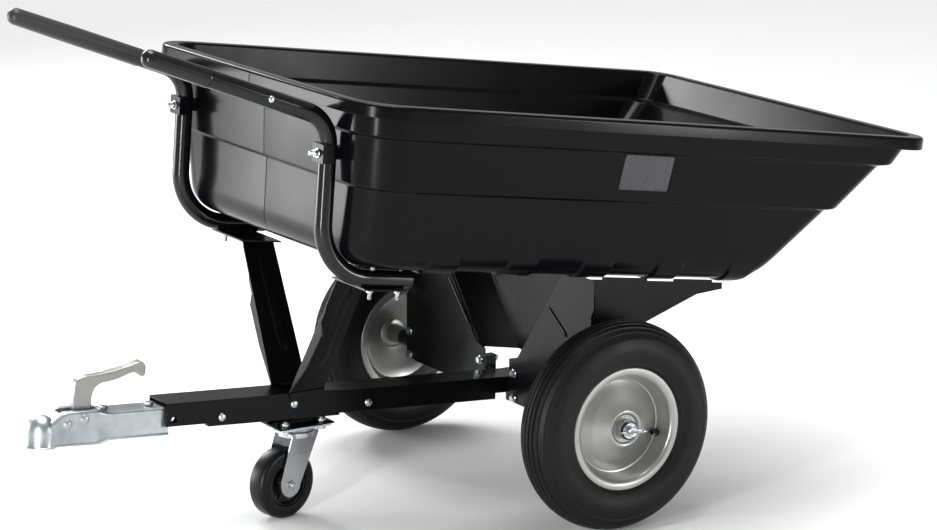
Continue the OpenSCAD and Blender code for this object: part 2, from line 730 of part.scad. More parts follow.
// Pressed wing: a front wall ahead of the axle, a side wall under the tray and a tab on the drawbar
module cradle_left() {
    black() cart() difference() {
        union() {
            translate([wing_x - sheet, 0, 0]) rotate([90, 0, 90]) linear_extrude(sheet) polygon([
                [rear_w / 2 + 0.1, wing_low], [wing_y - 35, wing_low], [wing_y, wing_low + 14],
                [wing_y, 300], [wing_y - 17, 322], [wing_y - 17, 395], [wing_y - 8, 410], [wing_y - 8, 520],
                [flat_edge(520), 520], [flat_edge(gap_top + 10), gap_top + 10], [wing_edge, gap_top],
                [wing_edge, 213], [rear_w / 2 + 0.1, 209]]);
            translate([0, side_y_in + sheet, 0]) rotate([90, 0, 0]) linear_extrude(sheet) polygon([
                [wing_x, wing_low + 5], [wing_x, 520], [side_rear, 520], [side_rear, under_floor(side_rear) - 12],
                [-231, 407], [-112, 367], [-78, 310], [-50, 240], [-36, wing_low + 5]]);
            translate([-36, rear_w / 2 + 0.1, wing_low]) cube([36 + wing_x, sheet, 43]);
        }
        above_floor();
        translate([0, 0, tyre_r]) rotate([-90, 0, 0]) cylinder(r = axle_r + slip, h = 600);
        for (y = clamp_y, z = [-1, 1]) translate([-5, y, tyre_r + z * clamp_bolt_z]) rotate([0, 90, 0])
            cylinder(r = bolt_r + slip, h = 50);
        cross_hole(cradle_bolt, bolt_r + slip);
    }
}

// Recessed middle of the cradle: a panel between two sloping flanks that rise to the wings
module cradle_web() {
    web_front = wing_x - sheet - 0.1;
    top_z = 520;
    top_y = web_low_y + (top_z - web_low_z) / tan(web_lean);
    flank = (top_z - web_low_z) / sin(web_lean) + 20;
    black() cart() difference() {
        union() {
            translate([web_x, 0, 0]) rotate([90, 0, 90]) linear_extrude(sheet) polygon([
                [-web_low_y, gap_top - 9], [web_low_y, gap_top - 9], [web_low_y, web_low_z], [top_y, top_z],
                [-top_y, top_z], [-web_low_y, web_low_z]]);
            for (s = [0, 1]) mirror([0, s, 0]) translate([0, web_low_y - 2, web_low_z]) rotate([web_lean - 90, 0, 0])
                translate([0, 0, -50]) linear_extrude(flank + 50) polygon([
                    [web_x + 0.5, 0.5], [web_x + 0.5, -3.5], [web_front, web_step * sin(web_lean) - 3.5],
                    [web_front, web_step * sin(web_lean) + 0.5]]);
        }
        above_floor();
        translate([-100, -200, 0]) cube([200, 400, gap_top]);
    }
}

module cradle_bolts() {
    zinc() cart() translate([cradle_bolt[0], rear_w / 2 + 0.3 + sheet, cradle_bolt[1]]) rotate([90, 0, 0])
        bolt(bolt_r, rear_w + 0.6 + 2 * sheet);
}

module axle() {
    color([0.5, 0.5, 0.52]) cart() translate([0, 0, tyre_r]) rotate([90, 0, 0]) difference() {
        cylinder(r = axle_r, h = 2 * axle_half, center = true);
        for (s = [-1, 1]) translate([0, 0, s * clip_y]) rotate([0, 90, 0]) cylinder(r = 2.6, h = 60, center = true);
    }
}

saddle_back = -axle_r - 8;
saddle_front = wing_x - sheet - 0.1;

// A saddle round the axle at each clamping point, held to the wing's front wall by two bolts
module axle_clamps() {
    black() cart() for (s = [-1, 1], y = clamp_y) translate([0, s * y, tyre_r]) difference() {
        translate([saddle_back, -saddle_half_w, -clamp_bolt_z - 9])
            cube([saddle_front - saddle_back, 2 * saddle_half_w, 2 * clamp_bolt_z + 18]);
        rotate([90, 0, 0]) cylinder(r = axle_r + 0.05, h = 40, center = true);
        for (z = [-1, 1]) translate([-50, 0, z * clamp_bolt_z]) rotate([0, 90, 0]) cylinder(r = bolt_r + slip, h = 100);
    }
}

module clamp_screws() {
    zinc() cart() for (s = [-1, 1], y = clamp_y, z = [-1, 1])
        translate([wing_x + 0.1, s * y, tyre_r + z * clamp_bolt_z]) rotate([0, -90, 0])
            bolt(bolt_r, wing_x - saddle_back + 0.2);
}

module axle_spacers() {
    color([0.05, 0.05, 0.05]) cart() for (s = [0, 1]) mirror([0, s, 0]) translate([0, wing_y + 0.5, tyre_r])
        along_y() ring(16, axle_r + 0.15, half_track - hub_in - wing_y - 1);
}

module axle_washers() {
    zinc() cart() for (s = [0, 1]) mirror([0, s, 0]) translate([0, half_track + hub_out + 0.4, tyre_r])
        along_y() ring(15, axle_r + 0.15, washer_t);
}

// A hairpin clip: a straight leg through the axle and a sprung leg round it
module hairpin() {
    zinc() cart() translate([0, clip_y, tyre_r]) {
        translate([-26, 0, 0]) rotate([0, 90, 0]) cylinder(r = 2.3, h = 46);
        translate([-26, 5.5, 0]) rotate([0, 0, 0]) rotate([0, 0, 90]) rotate_extrude(angle = 180, $fn = 48)
            translate([5.5, 0]) circle(r = 2.3, $fn = 20);
        translate([-26, 11, 0]) rotate([0, 90, 0]) cylinder(r = 2.3, h = 40);
    }
}

module hairpin_left() hairpin();
module hairpin_right() right_side() hairpin();

// ---------------------------------------------------------------- road wheels

module wheel_frame() cart() translate([0, half_track, tyre_r]) along_y() children();

tyre_shoulder = tyre_r - tyre_w / 2;

module road_tyre() {
    half = tyre_w / 2;
    carcass = 9;
    seat = bead_r + 0.2;
    color([0.035, 0.035, 0.035]) wheel_frame() rotate_extrude($fn = 128) difference() {
        union() {
            translate([tyre_shoulder, 0]) circle(r = half, $fn = 64);
            translate([seat, -34]) square([tyre_shoulder - seat, 68]);
        }
        translate([tyre_shoulder, 0]) circle(r = half - carcass, $fn = 64);
        translate([seat - 1, -34 + carcass]) square([tyre_shoulder - seat, 68 - 2 * carcass]);
        translate([0, -60]) square([seat, 120]);
        for (s = [-1, 1]) translate([seat - 2, s > 0 ? 34 : -60]) square([rim_r + 3 - seat, 26]);
    }
}

// Pressed rim: bead flanges, a well, a dished disc and the hub tube
module road_rim() {
    t = 2.5;
    well = bead_r - 9;
    color([0.62, 0.63, 0.64]) wheel_frame() difference() {
        rotate_extrude($fn = 96) union() {
            polygon([[bead_r, -38], [rim_r, -39], [rim_r, -36], [bead_r, -35], [well, -20], [well, 14], [bead_r, 35],
                [rim_r, 36], [rim_r, 39], [bead_r, 38], [bead_r - t, 36], [well - t, 15], [well - t, -21],
                [bead_r - t, -36]]);
            polygon([[well - 1, 4], [well - 1, 7], [84, 7], [70, 14], [40, 30], [33, 34], [29, 34], [26, 30],
                [18.5, 30], [18.5, 27], [27, 27], [31, 30], [39, 26.5], [69, 11], [83, 4]]);
            polygon([[bush_r, -hub_in], [19, -hub_in], [19, hub_out], [bush_r, hub_out]]);
        }
        valve_frame() translate([0, 0, -10]) cylinder(r = 5.4, h = 40);
    }
}

valve_angle = 163.5;

// The valve comes out of the well, leaning towards the hub
module valve_frame() rotate([0, 0, valve_angle]) translate([bead_r - 9, 0, 9]) rotate([0, -62, 0]) children();

module road_bushes() {
    color([0.15, 0.15, 0.16]) wheel_frame() for (z = [-hub_in, hub_out - bush_len])
        translate([0, 0, z]) ring(bush_r - 0.02, axle_r + running, bush_len);
}

// Rubber valve stem with its cap
module road_valve() {
    color([0.04, 0.04, 0.04]) wheel_frame() valve_frame() {
        translate([0, 0, -6]) cylinder(r = 5, h = 20);
        translate([0, 0, 14]) cylinder(r = 3.8, h = 8);
    }
}

module wheel_left_tyre() road_tyre();
module wheel_left_rim() road_rim();
module wheel_left_bushes() road_bushes();
module wheel_left_valve() road_valve();
module wheel_right_tyre() right_side() road_tyre();
module wheel_right_rim() right_side() road_rim();
module wheel_right_bushes() right_side() road_bushes();
module wheel_right_valve() right_side() road_valve();
module side_tube_right() right_side() side_tube_left();
module handle_insert_right() right_side() handle_insert_left();
module handle_grip_right() right_side() handle_grip_left();
module tube_clamp_right() right_side() tube_clamp_left();
module front_strut_right() right_side() front_strut_left();
module cradle_right() right_side() cradle_left();

// ---------------------------------------------------------------- nodes

tray();
tray_label();
side_tube_left();
side_tube_right();
handle_insert_left();
handle_insert_right();
handle_grip_left();
handle_grip_right();
handle_bolts();
tube_clamp_left();
tube_clamp_right();
clamp_bolts();
front_strut_left();
front_strut_right();
strut_bolts();
drawbar_front();
drawbar_rear();
drawbar_bolts();
coupling_tongue();
coupling_housing();
coupling_bolts();
coupling_pins();
coupling_lever();
coupling_jaw();
coupling_spring();
castor_mount_plate();
castor_top_plate();
castor_plate_bolts();
castor_kingpin();
castor_race();
castor_fork();
castor_axle_bolt();
castor_tyre();
castor_hub();
castor_bush();
cradle_left();
cradle_right();
cradle_web();
cradle_bolts();
axle();
axle_clamps();
clamp_screws();
axle_spacers();
axle_washers();
hairpin_left();
hairpin_right();
wheel_left_tyre();
wheel_left_rim();
wheel_left_bushes();
wheel_left_valve();
wheel_right_tyre();
wheel_right_rim();
wheel_right_bushes();
wheel_right_valve();
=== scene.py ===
"""Looks for a tow behind cart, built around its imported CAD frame.

Metres, +X forward to the coupling, +Y to the cart's left, +Z up, the ground at z = 0.
Sizes written with MM are millimetres in the frame of the assembly they belong to.
"""

import json
import math

import bmesh
import bpy
from mathutils import Matrix, Vector


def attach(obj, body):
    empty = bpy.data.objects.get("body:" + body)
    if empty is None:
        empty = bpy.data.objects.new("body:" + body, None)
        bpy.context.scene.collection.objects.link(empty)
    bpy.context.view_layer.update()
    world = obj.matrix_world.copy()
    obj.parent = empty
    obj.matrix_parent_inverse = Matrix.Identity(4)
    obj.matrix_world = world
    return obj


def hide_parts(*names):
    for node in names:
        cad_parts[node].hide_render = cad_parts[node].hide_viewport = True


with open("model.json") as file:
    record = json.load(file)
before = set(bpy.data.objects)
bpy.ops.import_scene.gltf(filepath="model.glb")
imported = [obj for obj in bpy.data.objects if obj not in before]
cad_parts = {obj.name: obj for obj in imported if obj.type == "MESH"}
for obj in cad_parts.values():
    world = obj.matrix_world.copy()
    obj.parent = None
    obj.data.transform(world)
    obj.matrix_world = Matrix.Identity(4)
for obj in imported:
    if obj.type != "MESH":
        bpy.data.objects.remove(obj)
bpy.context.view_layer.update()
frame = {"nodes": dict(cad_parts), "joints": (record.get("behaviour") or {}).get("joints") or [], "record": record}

MM = 0.001

# ---------------------------------------------------------------- frames of the assemblies


def joint_place(name):
    """Where a joint turns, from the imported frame."""
    return Vector(next(j["pos_m"] for j in frame["joints"] if j["name"] == name))


TRAY_TILT = math.radians(8.1)
BAR_SLOPE = math.radians(3.72)
CASTOR_TURN = math.radians(13)
RIM_PIVOT_Z = 782
BAR_Z = 214.3
AXLE = joint_place("wheel_left_spin")
CASTOR = joint_place("castor_swivel")
CART_FRAME = Matrix.Translation((AXLE.x, 0, 0))
TRAY_FRAME = CART_FRAME @ Matrix.Translation((0, 0, RIM_PIVOT_Z * MM)) @ Matrix.Rotation(-TRAY_TILT, 4, "Y")
BAR_FRAME = CART_FRAME @ Matrix.Translation((0, 0, BAR_Z * MM)) @ Matrix.Rotation(-BAR_SLOPE, 4, "Y")
CASTOR_FRAME = Matrix.Translation((CASTOR.x, 0, 0)) @ Matrix.Rotation(CASTOR_TURN, 4, "Z")
# The left side is drawn as it is, and the right side is its mirror image
HAND = {"left": Matrix.Identity(4), "right": Matrix.Diagonal((1, -1, 1, 1))}
BOTH = tuple(HAND.values())

# ---------------------------------------------------------------- materials


def paint(name, color, roughness, metallic=0.0, spread=0.08, grain=180.0, bump=0.15, depth=0.0002, tint=0.25,
          coat=0.0, patch=9.0, specular=0.5):
    """A finish whose roughness and tone drift over the surface, with a fine grain in its relief."""
    mat = bpy.data.materials.new(name)
    mat.use_nodes = True
    nodes = mat.node_tree.nodes
    links = mat.node_tree.links
    shader = nodes["Principled BSDF"]
    shader.inputs["Metallic"].default_value = metallic
    shader.inputs["Coat Weight"].default_value = coat
    shader.inputs["Coat Roughness"].default_value = 0.12
    shader.inputs["Specular IOR Level"].default_value = specular
    place = nodes.new("ShaderNodeTexCoord")
    drift = nodes.new("ShaderNodeTexNoise")
    drift.inputs["Scale"].default_value = patch
    drift.inputs["Detail"].default_value = 6.0
    links.new(place.outputs["Object"], drift.inputs["Vector"])
    tone = nodes.new("ShaderNodeMix")
    tone.data_type = "RGBA"
    tone.inputs["A"].default_value = [c * (1 - tint) for c in color] + [1]
    tone.inputs["B"].default_value = [min(1, c * (1 + tint)) for c in color] + [1]
    links.new(drift.outputs["Fac"], tone.inputs["Factor"])
    links.new(tone.outputs["Result"], shader.inputs["Base Color"])
    gloss = nodes.new("ShaderNodeMapRange")
    gloss.inputs["From Min"].default_value = 0.3
    gloss.inputs["From Max"].default_value = 0.7
    gloss.inputs["To Min"].default_value = roughness - spread
    gloss.inputs["To Max"].default_value = roughness + spread
    links.new(drift.outputs["Fac"], gloss.inputs["Value"])
    links.new(gloss.outputs["Result"], shader.inputs["Roughness"])
    fine = nodes.new("ShaderNodeTexNoise")
    fine.inputs["Scale"].default_value = grain
    fine.inputs["Detail"].default_value = 3.0
    links.new(place.outputs["Object"], fine.inputs["Vector"])
    relief = nodes.new("ShaderNodeBump")
    relief.inputs["Strength"].default_value = bump
    relief.inputs["Distance"].default_value = depth
    links.new(fine.outputs["Fac"], relief.inputs["Height"])
    links.new(relief.outputs["Normal"], shader.inputs["Normal"])
    return mat


def spangled(name, color, roughness, cells=60.0):
    """Bright zinc plating: metal with a faint crystal pattern and a cloudy passivated tone."""
    mat = paint(name, color, roughness, metallic=1.0, spread=0.07, grain=420.0, bump=0.12, tint=0.08,
                patch=14.0)
    nodes = mat.node_tree.nodes
    links = mat.node_tree.links
    cell = nodes.new("ShaderNodeTexVoronoi")
    cell.inputs["Scale"].default_value = cells
    links.new(nodes["Texture Coordinate"].outputs["Object"], cell.inputs["Vector"])
    tone = nodes["Mix"]
    blend = nodes.new("ShaderNodeMix")
    blend.data_type = "RGBA"
    blend.blend_type = "MULTIPLY"
    blend.inputs["Factor"].default_value = 0.14
    links.new(tone.outputs["Result"], blend.inputs["A"])
    links.new(cell.outputs["Distance"], blend.inputs["B"])
    links.new(blend.outputs["Result"], nodes["Principled BSDF"].inputs["Base Color"])
    return mat


TRAY_BLACK = paint("tray_black", (0.0022, 0.0022, 0.0026), 0.2, spread=0.04, grain=260, bump=0.08,
                   tint=0.2, patch=5, specular=0.09)
FRAME_BLACK = paint("frame_black", (0.0022, 0.0022, 0.0026), 0.26, spread=0.06, grain=620, bump=0.14,
                    specular=0.12)
TUBE_BLACK = paint("tube_black", (0.0025, 0.0025, 0.003), 0.16, spread=0.04, grain=500, bump=0.06,
                   specular=0.3)
# Far grip: the near grip's black rubber, painted grey as a painted reflection of the bright surround on glossy
# black
FAR_GRIP_PAINTED_REFLECTION = paint("grip_painted_reflection", (0.022, 0.022, 0.023), 0.42, spread=0.05, grain=900, bump=0.3, specular=0.35)
GRIP_BLACK = paint("grip_black", (0.005, 0.005, 0.0055), 0.22, spread=0.05, grain=700, bump=0.1,
                   specular=0.3)
LABEL = paint("label_plate", (0.026, 0.026, 0.029), 0.34, spread=0.1, grain=90, bump=0.05, tint=0.45,
              patch=40)
ZINC = spangled("zinc", (0.37, 0.40, 0.415), 0.38)
ZINC_SMALL = spangled("zinc_small", (0.50, 0.52, 0.54), 0.27, cells=240.0)
CAST = paint("cast_zinc", (0.26, 0.26, 0.25), 0.36, metallic=1.0, spread=0.08, grain=700, bump=0.35,
             depth=0.0004)
WIRE = paint("spring_wire", (0.6, 0.6, 0.62), 0.26, metallic=1.0, grain=900, bump=0.1)
AXLE_STEEL = paint("axle_steel", (0.5, 0.5, 0.52), 0.32, metallic=1.0, grain=900, bump=0.15)
RIM_SILVER = paint("rim_silver", (0.29, 0.29, 0.285), 0.33, metallic=0.75, spread=0.05, grain=800,
                   bump=0.1, coat=0.2)
TYRE_RUBBER = paint("tyre_rubber", (0.0045, 0.0045, 0.005), 0.46, spread=0.07, grain=520, bump=0.24,
                    tint=0.35, specular=0.16)
CASTOR_RUBBER = paint("castor_rubber", (0.003, 0.003, 0.0035), 0.3, spread=0.08, grain=520, bump=0.16,
                      specular=0.2)
CASTOR_PLASTIC = paint("castor_plastic", (0.006, 0.006, 0.0065), 0.25, spread=0.06, grain=420, bump=0.1,
                       specular=0.35)

SLOT_MATERIAL = {
    "tray_plastic": TRAY_BLACK,
    "label_plate": LABEL,
    "frame_paint": FRAME_BLACK,
    "grip_rubber": GRIP_BLACK,
    "zinc": ZINC_SMALL,
    "cast_zinc": CAST,
    "spring_steel": WIRE,
    "axle_steel": AXLE_STEEL,
    "rim_silver": RIM_SILVER,
    "tyre": TYRE_RUBBER,
    "castor_rubber": CASTOR_RUBBER,
    "castor_plastic": CASTOR_PLASTIC,
}
NODE_SLOT = {s["node"]: s["material_slot"] for s in frame["record"]["subparts"]}
NODE_BODY = {n: b for b, nodes in frame["record"]["behaviour"]["bodies"].items() for n in nodes}

# ---------------------------------------------------------------- making pieces


def soften(obj, angle=32):
    """Smooth shading, kept crisp where faces meet at more than the angle."""
    for face in obj.data.polygons:
        face.use_smooth = True
    obj.data.set_sharp_from_angle(angle=math.radians(angle))


# CAD nodes that already have a piece standing for them
DONE = set()


def piece(name, bm, material, nodes, crisp=32, replace=True):
    """Turns a bmesh into a piece that rides on its CAD nodes' body and, as a rule, stands for them."""
    bmesh.ops.remove_doubles(bm, verts=bm.verts, dist=1e-6)
    bmesh.ops.dissolve_degenerate(bm, dist=1e-7, edges=bm.edges)
    bmesh.ops.recalc_face_normals(bm, faces=bm.faces)
    mesh = bpy.data.meshes.new(name)
    bm.to_mesh(mesh)
    bm.free()
    obj = bpy.data.objects.new(name, mesh)
    bpy.context.collection.objects.link(obj)
    obj.data.materials.append(material)
    soften(obj, crisp)
    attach(obj, NODE_BODY[nodes[0]])
    if replace:
        DONE.update(nodes)
        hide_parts(*nodes)
    return obj


def round_edges(obj, width, segments=2, angle=35):
    """Rounds the sharp edges of a piece, as a press or a mould leaves them."""
    bevel = obj.modifiers.new("rounding", "BEVEL")
    bevel.width = width
    bevel.segments = segments
    bevel.limit_method = "ANGLE"
    bevel.angle_limit = math.radians(angle)
    bevel.harden_normals = True
    return obj


def from_cad(node):
    """A piece with a CAD node's own shape, with its sharp edges rounded off."""
    bm = bmesh.new()
    bm.from_mesh(frame["nodes"][node].data)
    bmesh.ops.transform(bm, matrix=frame["nodes"][node].matrix_world, verts=bm.verts)
    bmesh.ops.remove_doubles(bm, verts=bm.verts, dist=2e-6)
    bmesh.ops.dissolve_limit(bm, angle_limit=math.radians(0.6), verts=bm.verts, edges=bm.edges)
    obj = piece(node + "_finished", bm, SLOT_MATERIAL[NODE_SLOT[node]], [node])
    return round_edges(obj, 0.6 * MM)


def extra(name, bm, material, node):
    """A detail that belongs to a CAD node's body without standing for the node."""
    return piece(name, bm, material, [node], replace=False)


# ---------------------------------------------------------------- shapes in mesh code


def join_rings(bm, rings, wrap=True, close=False, caps=False):
    """Joins rows of points with quads. wrap closes each row, close joins the last row to the first."""
    rows = [[bm.verts.new(p) for p in ring] for ring in rings]
    n = len(rows[0])
    for low, high in list(zip(rows, rows[1:])) + ([(rows[-1], rows[0])] if close else []):
        for i in range(n if wrap else n - 1):
            k = (i + 1) % n
            bm.faces.new((low[i], low[k], high[k], high[i]))
    if caps:
        bm.faces.new(rows[0][::-1])
        bm.faces.new(rows[-1])
    return rows


def turned(bm, profile, place, steps=64):
    """A solid of revolution about the local Z axis, from a closed profile of (radius, height) in mm."""
    rings = []
    for k in range(steps):
        a = 2 * math.pi * k / steps
        rings.append([place @ (Vector((r * math.cos(a), r * math.sin(a), h)) * MM) for r, h in profile])
    join_rings(bm, rings, close=True)


def shift(x, y, z):
    """A move in mm."""
    return Matrix.Translation(Vector((x, y, z)) * MM)


def spin(degrees, axis):
    """A turn about one axis."""
    return Matrix.Rotation(math.radians(degrees), 4, axis)


def bent_path(corners, bends, spacing=7):
    """The points of a path whose corners are rounded to their bend radii, in mm."""
    points = [Vector(corners[0])]
    for before, here, after, r in zip(corners, corners[1:], corners[2:], bends):
        here = Vector(here)
        d0 = (here - Vector(before)).normalized()
        d1 = (Vector(after) - here).normalized()
        angle = d0.angle(d1)
        back = r * math.tan(angle / 2)
        centre = here - d0 * back + (d1 - d0 * d0.dot(d1)).normalized() * r
        steps = max(6, round(r * angle / spacing))
        for k in range(steps + 1):
            a = angle * k / steps
            side = here - d0 * back - centre
            points.append(centre + side * math.cos(a) + d0 * r * math.sin(a))
    return points + [Vector(corners[-1])]


def tube(bm, path, radius, normal, place, sides=36, inner=0):
    """A round bar or tube along a flat path. normal is square to the path's plane."""
    normal = Vector(normal)
    rings = []
    for i, p in enumerate(path):
        along = (path[min(i + 1, len(path) - 1)] - path[max(i - 1, 0)]).normalized()
        across = along.cross(normal)
        rings.append([(p, normal * math.cos(a) + across * math.sin(a))
                      for a in (2 * math.pi * k / sides for k in range(sides))])
    outer = [[place @ ((p + d * radius) * MM) for p, d in ring] for ring in rings]
    if inner:
        hole = [[place @ ((p + d * inner) * MM) for p, d in ring] for ring in rings]
        join_rings(bm, outer + hole[::-1], close=True)
    else:
        join_rings(bm, outer, caps=True)


def nut(bm, place, r, z, h):
    """A hexagon from z to z + h with its corners turned down at both ends."""
    flat = r * math.cos(math.pi / 6)
    rings = []
    for at, chamfer in ((0, True), (0.16, False), (0.84, False), (1, True)):
        ring = []
        for k in range(36):
            a = math.pi * k / 18
            edge = flat / math.cos((a + math.pi / 6) % (math.pi / 3) - math.pi / 6)
            reach = min(edge, flat * 1.01) if chamfer else edge
            ring.append(place @ (Vector((reach * math.cos(a), reach * math.sin(a), z + h * at)) * MM))
        rings.append(ring)
    join_rings(bm, rings, caps=True)


def stud(bm, place, r, z0, z1, pitch=1.25, depth=0.55):
    """A threaded length with a pointed end."""
    profile = [(0, z0)]
    for k in range(int((z1 - z0) / pitch)):
        foot = z0 + pitch * k
        profile += [(r, foot + pitch * 0.15), (r, foot + pitch * 0.35), (r - depth, foot + pitch * 0.8)]
    turned(bm, profile + [(r - 0.8, z1), (0, z1)], place, 24)


def washer(bm, place, r_out, r_in, z, h):
    """A flat ring from z to z + h with its outer edges broken."""
    edge = 0.4
    half = [(r_in, z), (r_out - edge, z), (r_out, z + edge)]
    turned(bm, half + [(r_out, z + h - edge), (r_out - edge, z + h), (r_in, z + h)], place, 40)


def domed(bm, place, r, h):
    """A domed head below z = 0."""
    edge = 0.12
    dome = [(r * math.cos(a), -h * (edge + (1 - edge) * math.sin(a)))
            for a in (math.pi / 2 * k / 7 for k in range(1, 8))]
    turned(bm, [(0, 0), (r, 0), (r, -edge * h)] + dome, place, 40)


def bolt(bm, place, r, grip, spare=3, washers=True, round_head=0):
    """A bolt along local Z with its head below z = 0 and its nut at z = grip."""
    hex_r = r * 1.75
    washer_r = r * 2.15
    h = r * 1.2
    t = 1.3 if washers else 0
    if round_head:
        domed(bm, place, round_head, r * 1.1)
    else:
        if washers:
            washer(bm, place, washer_r, r, -t, t)
        nut(bm, place, hex_r, -t - h, h)
    if washers:
        washer(bm, place, washer_r, r, grip, t)
    nut(bm, place, hex_r, grip + t, h)
    stud(bm, place, r, 0, grip + t + h + spare)


# ---------------------------------------------------------------- tray

FLOOR_Z = -310
WALL = 4.5
LIP_OUT = 25
LIP_DROP = 24
CORNER_FRONT = 75
CORNER_TAIL = 38
# Ribs across the floor: how proud they stand, where each starts and ends, and the heights they fade out over
RIB_DEPTH = 4.8
RIBS = ((271, 336), (104, 167), (-62, 3), (-222, -164), (-388, -333))
RIB_FADE = (-292, -258)
# Levels of the wall's outside: height, front x, tail x, half width at the front and at the tail
WALL_ROWS = ((-298, 490, -418, 344, 344), (-159, 500, -532, 381, 386), (-155, 507, -549, 388, 395),
             (-64, 518, -622, 398, 417), (-60, 525, -646, 405, 426), (-5, 531, -676, 409, 437))
# The wall turns into the floor on a curve: its end on the floor, its corner, and its start on the wall
FOOT = ((FLOOR_Z, 429, -390, 303, 303), (FLOOR_Z, 489, -408, 341, 340.5), (-260, 492.7, -449, 354, 355.5))
# Places along a side with a column of points: an even spread, and three or more for each rib
SIDE_X = sorted({351, 235, 200, 60, 30, -100, -130, -250, -290, -310}
                | {x + d for span in RIBS for x in span for d in (-2.5, 2.5) if -350 < x + d < 350}
                | {(a + b) / 2 for a, b in RIBS if a > -350}, reverse=True)


def at_height(z, low=WALL_ROWS[0], high=WALL_ROWS[1]):
    """The wall's level at height z, between two of its rows."""
    t = (z - low[0]) / (high[0] - low[0])
    return [z] + [a + (b - a) * t for a, b in zip(low[1:], high[1:])]


def foot_row(t):
    """The level at t along the curve from the floor to the wall."""
    return [a * (1 - t) ** 2 + 2 * t * (1 - t) * b + c * t * t for a, b, c in zip(*FOOT)]


def grown(row, out, z=None):
    """A level moved out from the wall, with its corners growing by as much."""
    height, front, tail, half_f, half_t = row
    return [height if z is None else z, front + out, tail - out, half_f + out, half_t + out, out]


def rounded_levels(levels):
    """Rounds each corner of a run of levels. A level ends with how far from the corner the curve starts."""
    out = []
    for i, (level, r, steps) in enumerate(levels):
        if not r:
            out.append(level)
            continue
        ends = []
        for other in (levels[i - 1][0], levels[i + 1][0]):
            reach = math.hypot(other[0] - level[0], other[3] - level[3])
            t = min(0.48, r / reach)
            ends.append([a + (b - a) * t for a, b in zip(level, other)])
        for k in range(steps + 1):
            t = k / steps
            out.append([(1 - t) ** 2 * a + 2 * t * (1 - t) * c + t * t * b
                        for a, c, b in zip(ends[0], level, ends[1])])
    return out


def tray_levels():
    """Every level of the tray's skin, up the outside, over the rim and down the inside."""
    top = WALL_ROWS[-1]
    curve = [k / 12 for k in range(13)]
    outside = [(grown(foot_row(t), 0), 0, 0) for t in curve] + [(grown(at_height(-254), 0), 0, 0)]
    outside += [(grown(row, 0), 2.2, 3) for row in WALL_ROWS[1:-1]] + [(grown(top, 0), 1.5, 2)]
    lip = [(grown(top, LIP_OUT - 4, -5), 2, 2), (grown(top, LIP_OUT - 4, -LIP_DROP), 0.8, 2)]
    lip += [(grown(top, LIP_OUT, -LIP_DROP), 1.2, 2), (grown(top, LIP_OUT, 0), 7, 7)]
    lip += [(grown(top, -WALL, 0), 5, 5)]
    inside = [(grown(row, -WALL, row[0] + 1.5), 2.2, 3) for row in WALL_ROWS[-2:0:-1]]
    for t in curve[::-1]:
        inside.append((grown(foot_row(t), -WALL, foot_row(t)[0] + WALL * (1 - 0.6 * t)), 0, 0))
    return rounded_levels(outside + lip + inside)


def ring_points(level):
    """Points round the left half of one level, from the front, each with the direction that faces out."""
    z, front, tail, half_f, half_t, out = level
    rf = CORNER_FRONT + out
    rt = CORNER_TAIL + out
    slope = (half_t - half_f) / (front - tail)

    def half_at(x):
        return half_f + (front - x) * slope

    left = [(front, y, 1, 0) for y in (0, 3.5, 120)]
    left += [(front - rf + rf * math.cos(a), half_f - rf + rf * math.sin(a), math.cos(a), math.sin(a))
             for a in (math.pi / 2 * k / 14 for k in range(15))]
    left += [(x, half_at(x), 0, 1) for x in SIDE_X]
    left += [(tail + rt + rt * math.cos(a), half_t - rt + rt * math.sin(a), math.cos(a), math.sin(a))
             for a in (math.pi / 2 * (1 + k / 10) for k in range(11))]
    return left


def rib_height(x):
    """How much of a rib stands at x, from 0 to 1, with sides 5 mm long."""
    return max(0, max(min((x - a) / 5 + 0.5, (b - x) / 5 + 0.5, 1) for a, b in RIBS))


def tray_ring(level, face, fade):
    """The points of one level, pushed out along face where a rib crosses it. The front has a crease."""
    left = []
    for k, (x, y, nx, ny) in enumerate(ring_points(level)):
        lift = RIB_DEPTH * rib_height(x) * fade * ny * ny
        crease = -1.1 if k == 0 and level[0] > FLOOR_Z + 8 else 0
        out = face.x * lift
        left.append(Vector((x + nx * out + crease, y + ny * out, level[0] + face.y * lift)))
    right = [Vector((p.x, -p.y, p.z)) for p in left[:0:-1]]
    return [TRAY_FRAME @ (p * MM) for p in left + right]


def build_tray():
    """One skin through every level, closed by the floor below and inside."""
    bm = bmesh.new()
    levels = tray_levels()
    ribbed_count = next(i for i, level in enumerate(levels) if level[0] > -250)
    fade_low, fade_high = RIB_FADE
    rings = []
    for i, level in enumerate(levels):
        before = levels[max(i - 1, 0)]
        after = levels[min(i + 1, len(levels) - 1)]
        face = Vector((after[0] - before[0], before[3] - after[3])).normalized() if i else Vector((0, -1))
        fade = max(0, min(1, (fade_high - level[0]) / (fade_high - fade_low))) if i < ribbed_count else 0
        rings.append(tray_ring(level, face, fade))
    rows = join_rings(bm, rings)
    # The floor, from side to side, under and inside
    for row in (rows[0], rows[-1]):
        half = len(row) // 2
        left = row[:half + 1]
        right = [row[0]] + row[:half:-1]
        bm.faces.new((left[0], left[1], left[2], right[2], right[1]))
        for a, b, c, d in zip(left[2:], left[3:], right[3:], right[2:]):
            if len({a, b, c, d}) == 4:
                bm.faces.new((a, b, c, d))
    tray = piece("tray_shell", bm, TRAY_BLACK, ["tray"], crisp=24)
    smooth = tray.modifiers.new("even_shading", "WEIGHTED_NORMAL")
    smooth.keep_sharp = True
    return tray


build_tray()

# ---------------------------------------------------------------- road wheels

# The tyre's round section: the radius of its middle and its own radius
SECTION_R = 150
SECTION_HALF = 50
GROOVES = (-38, -28.5, -19, -9.5, 0, 9.5, 19, 28.5, 38)
# The hub's inboard and outboard ends, from the middle of the tyre
HUB_IN = 12
HUB_OUT = 44
BUSH_LEN = 20
# How far the axle stands out of the hub, and how far inside its end the clip goes through
AXLE_SPARE = 17
CLIP_INSET = 8


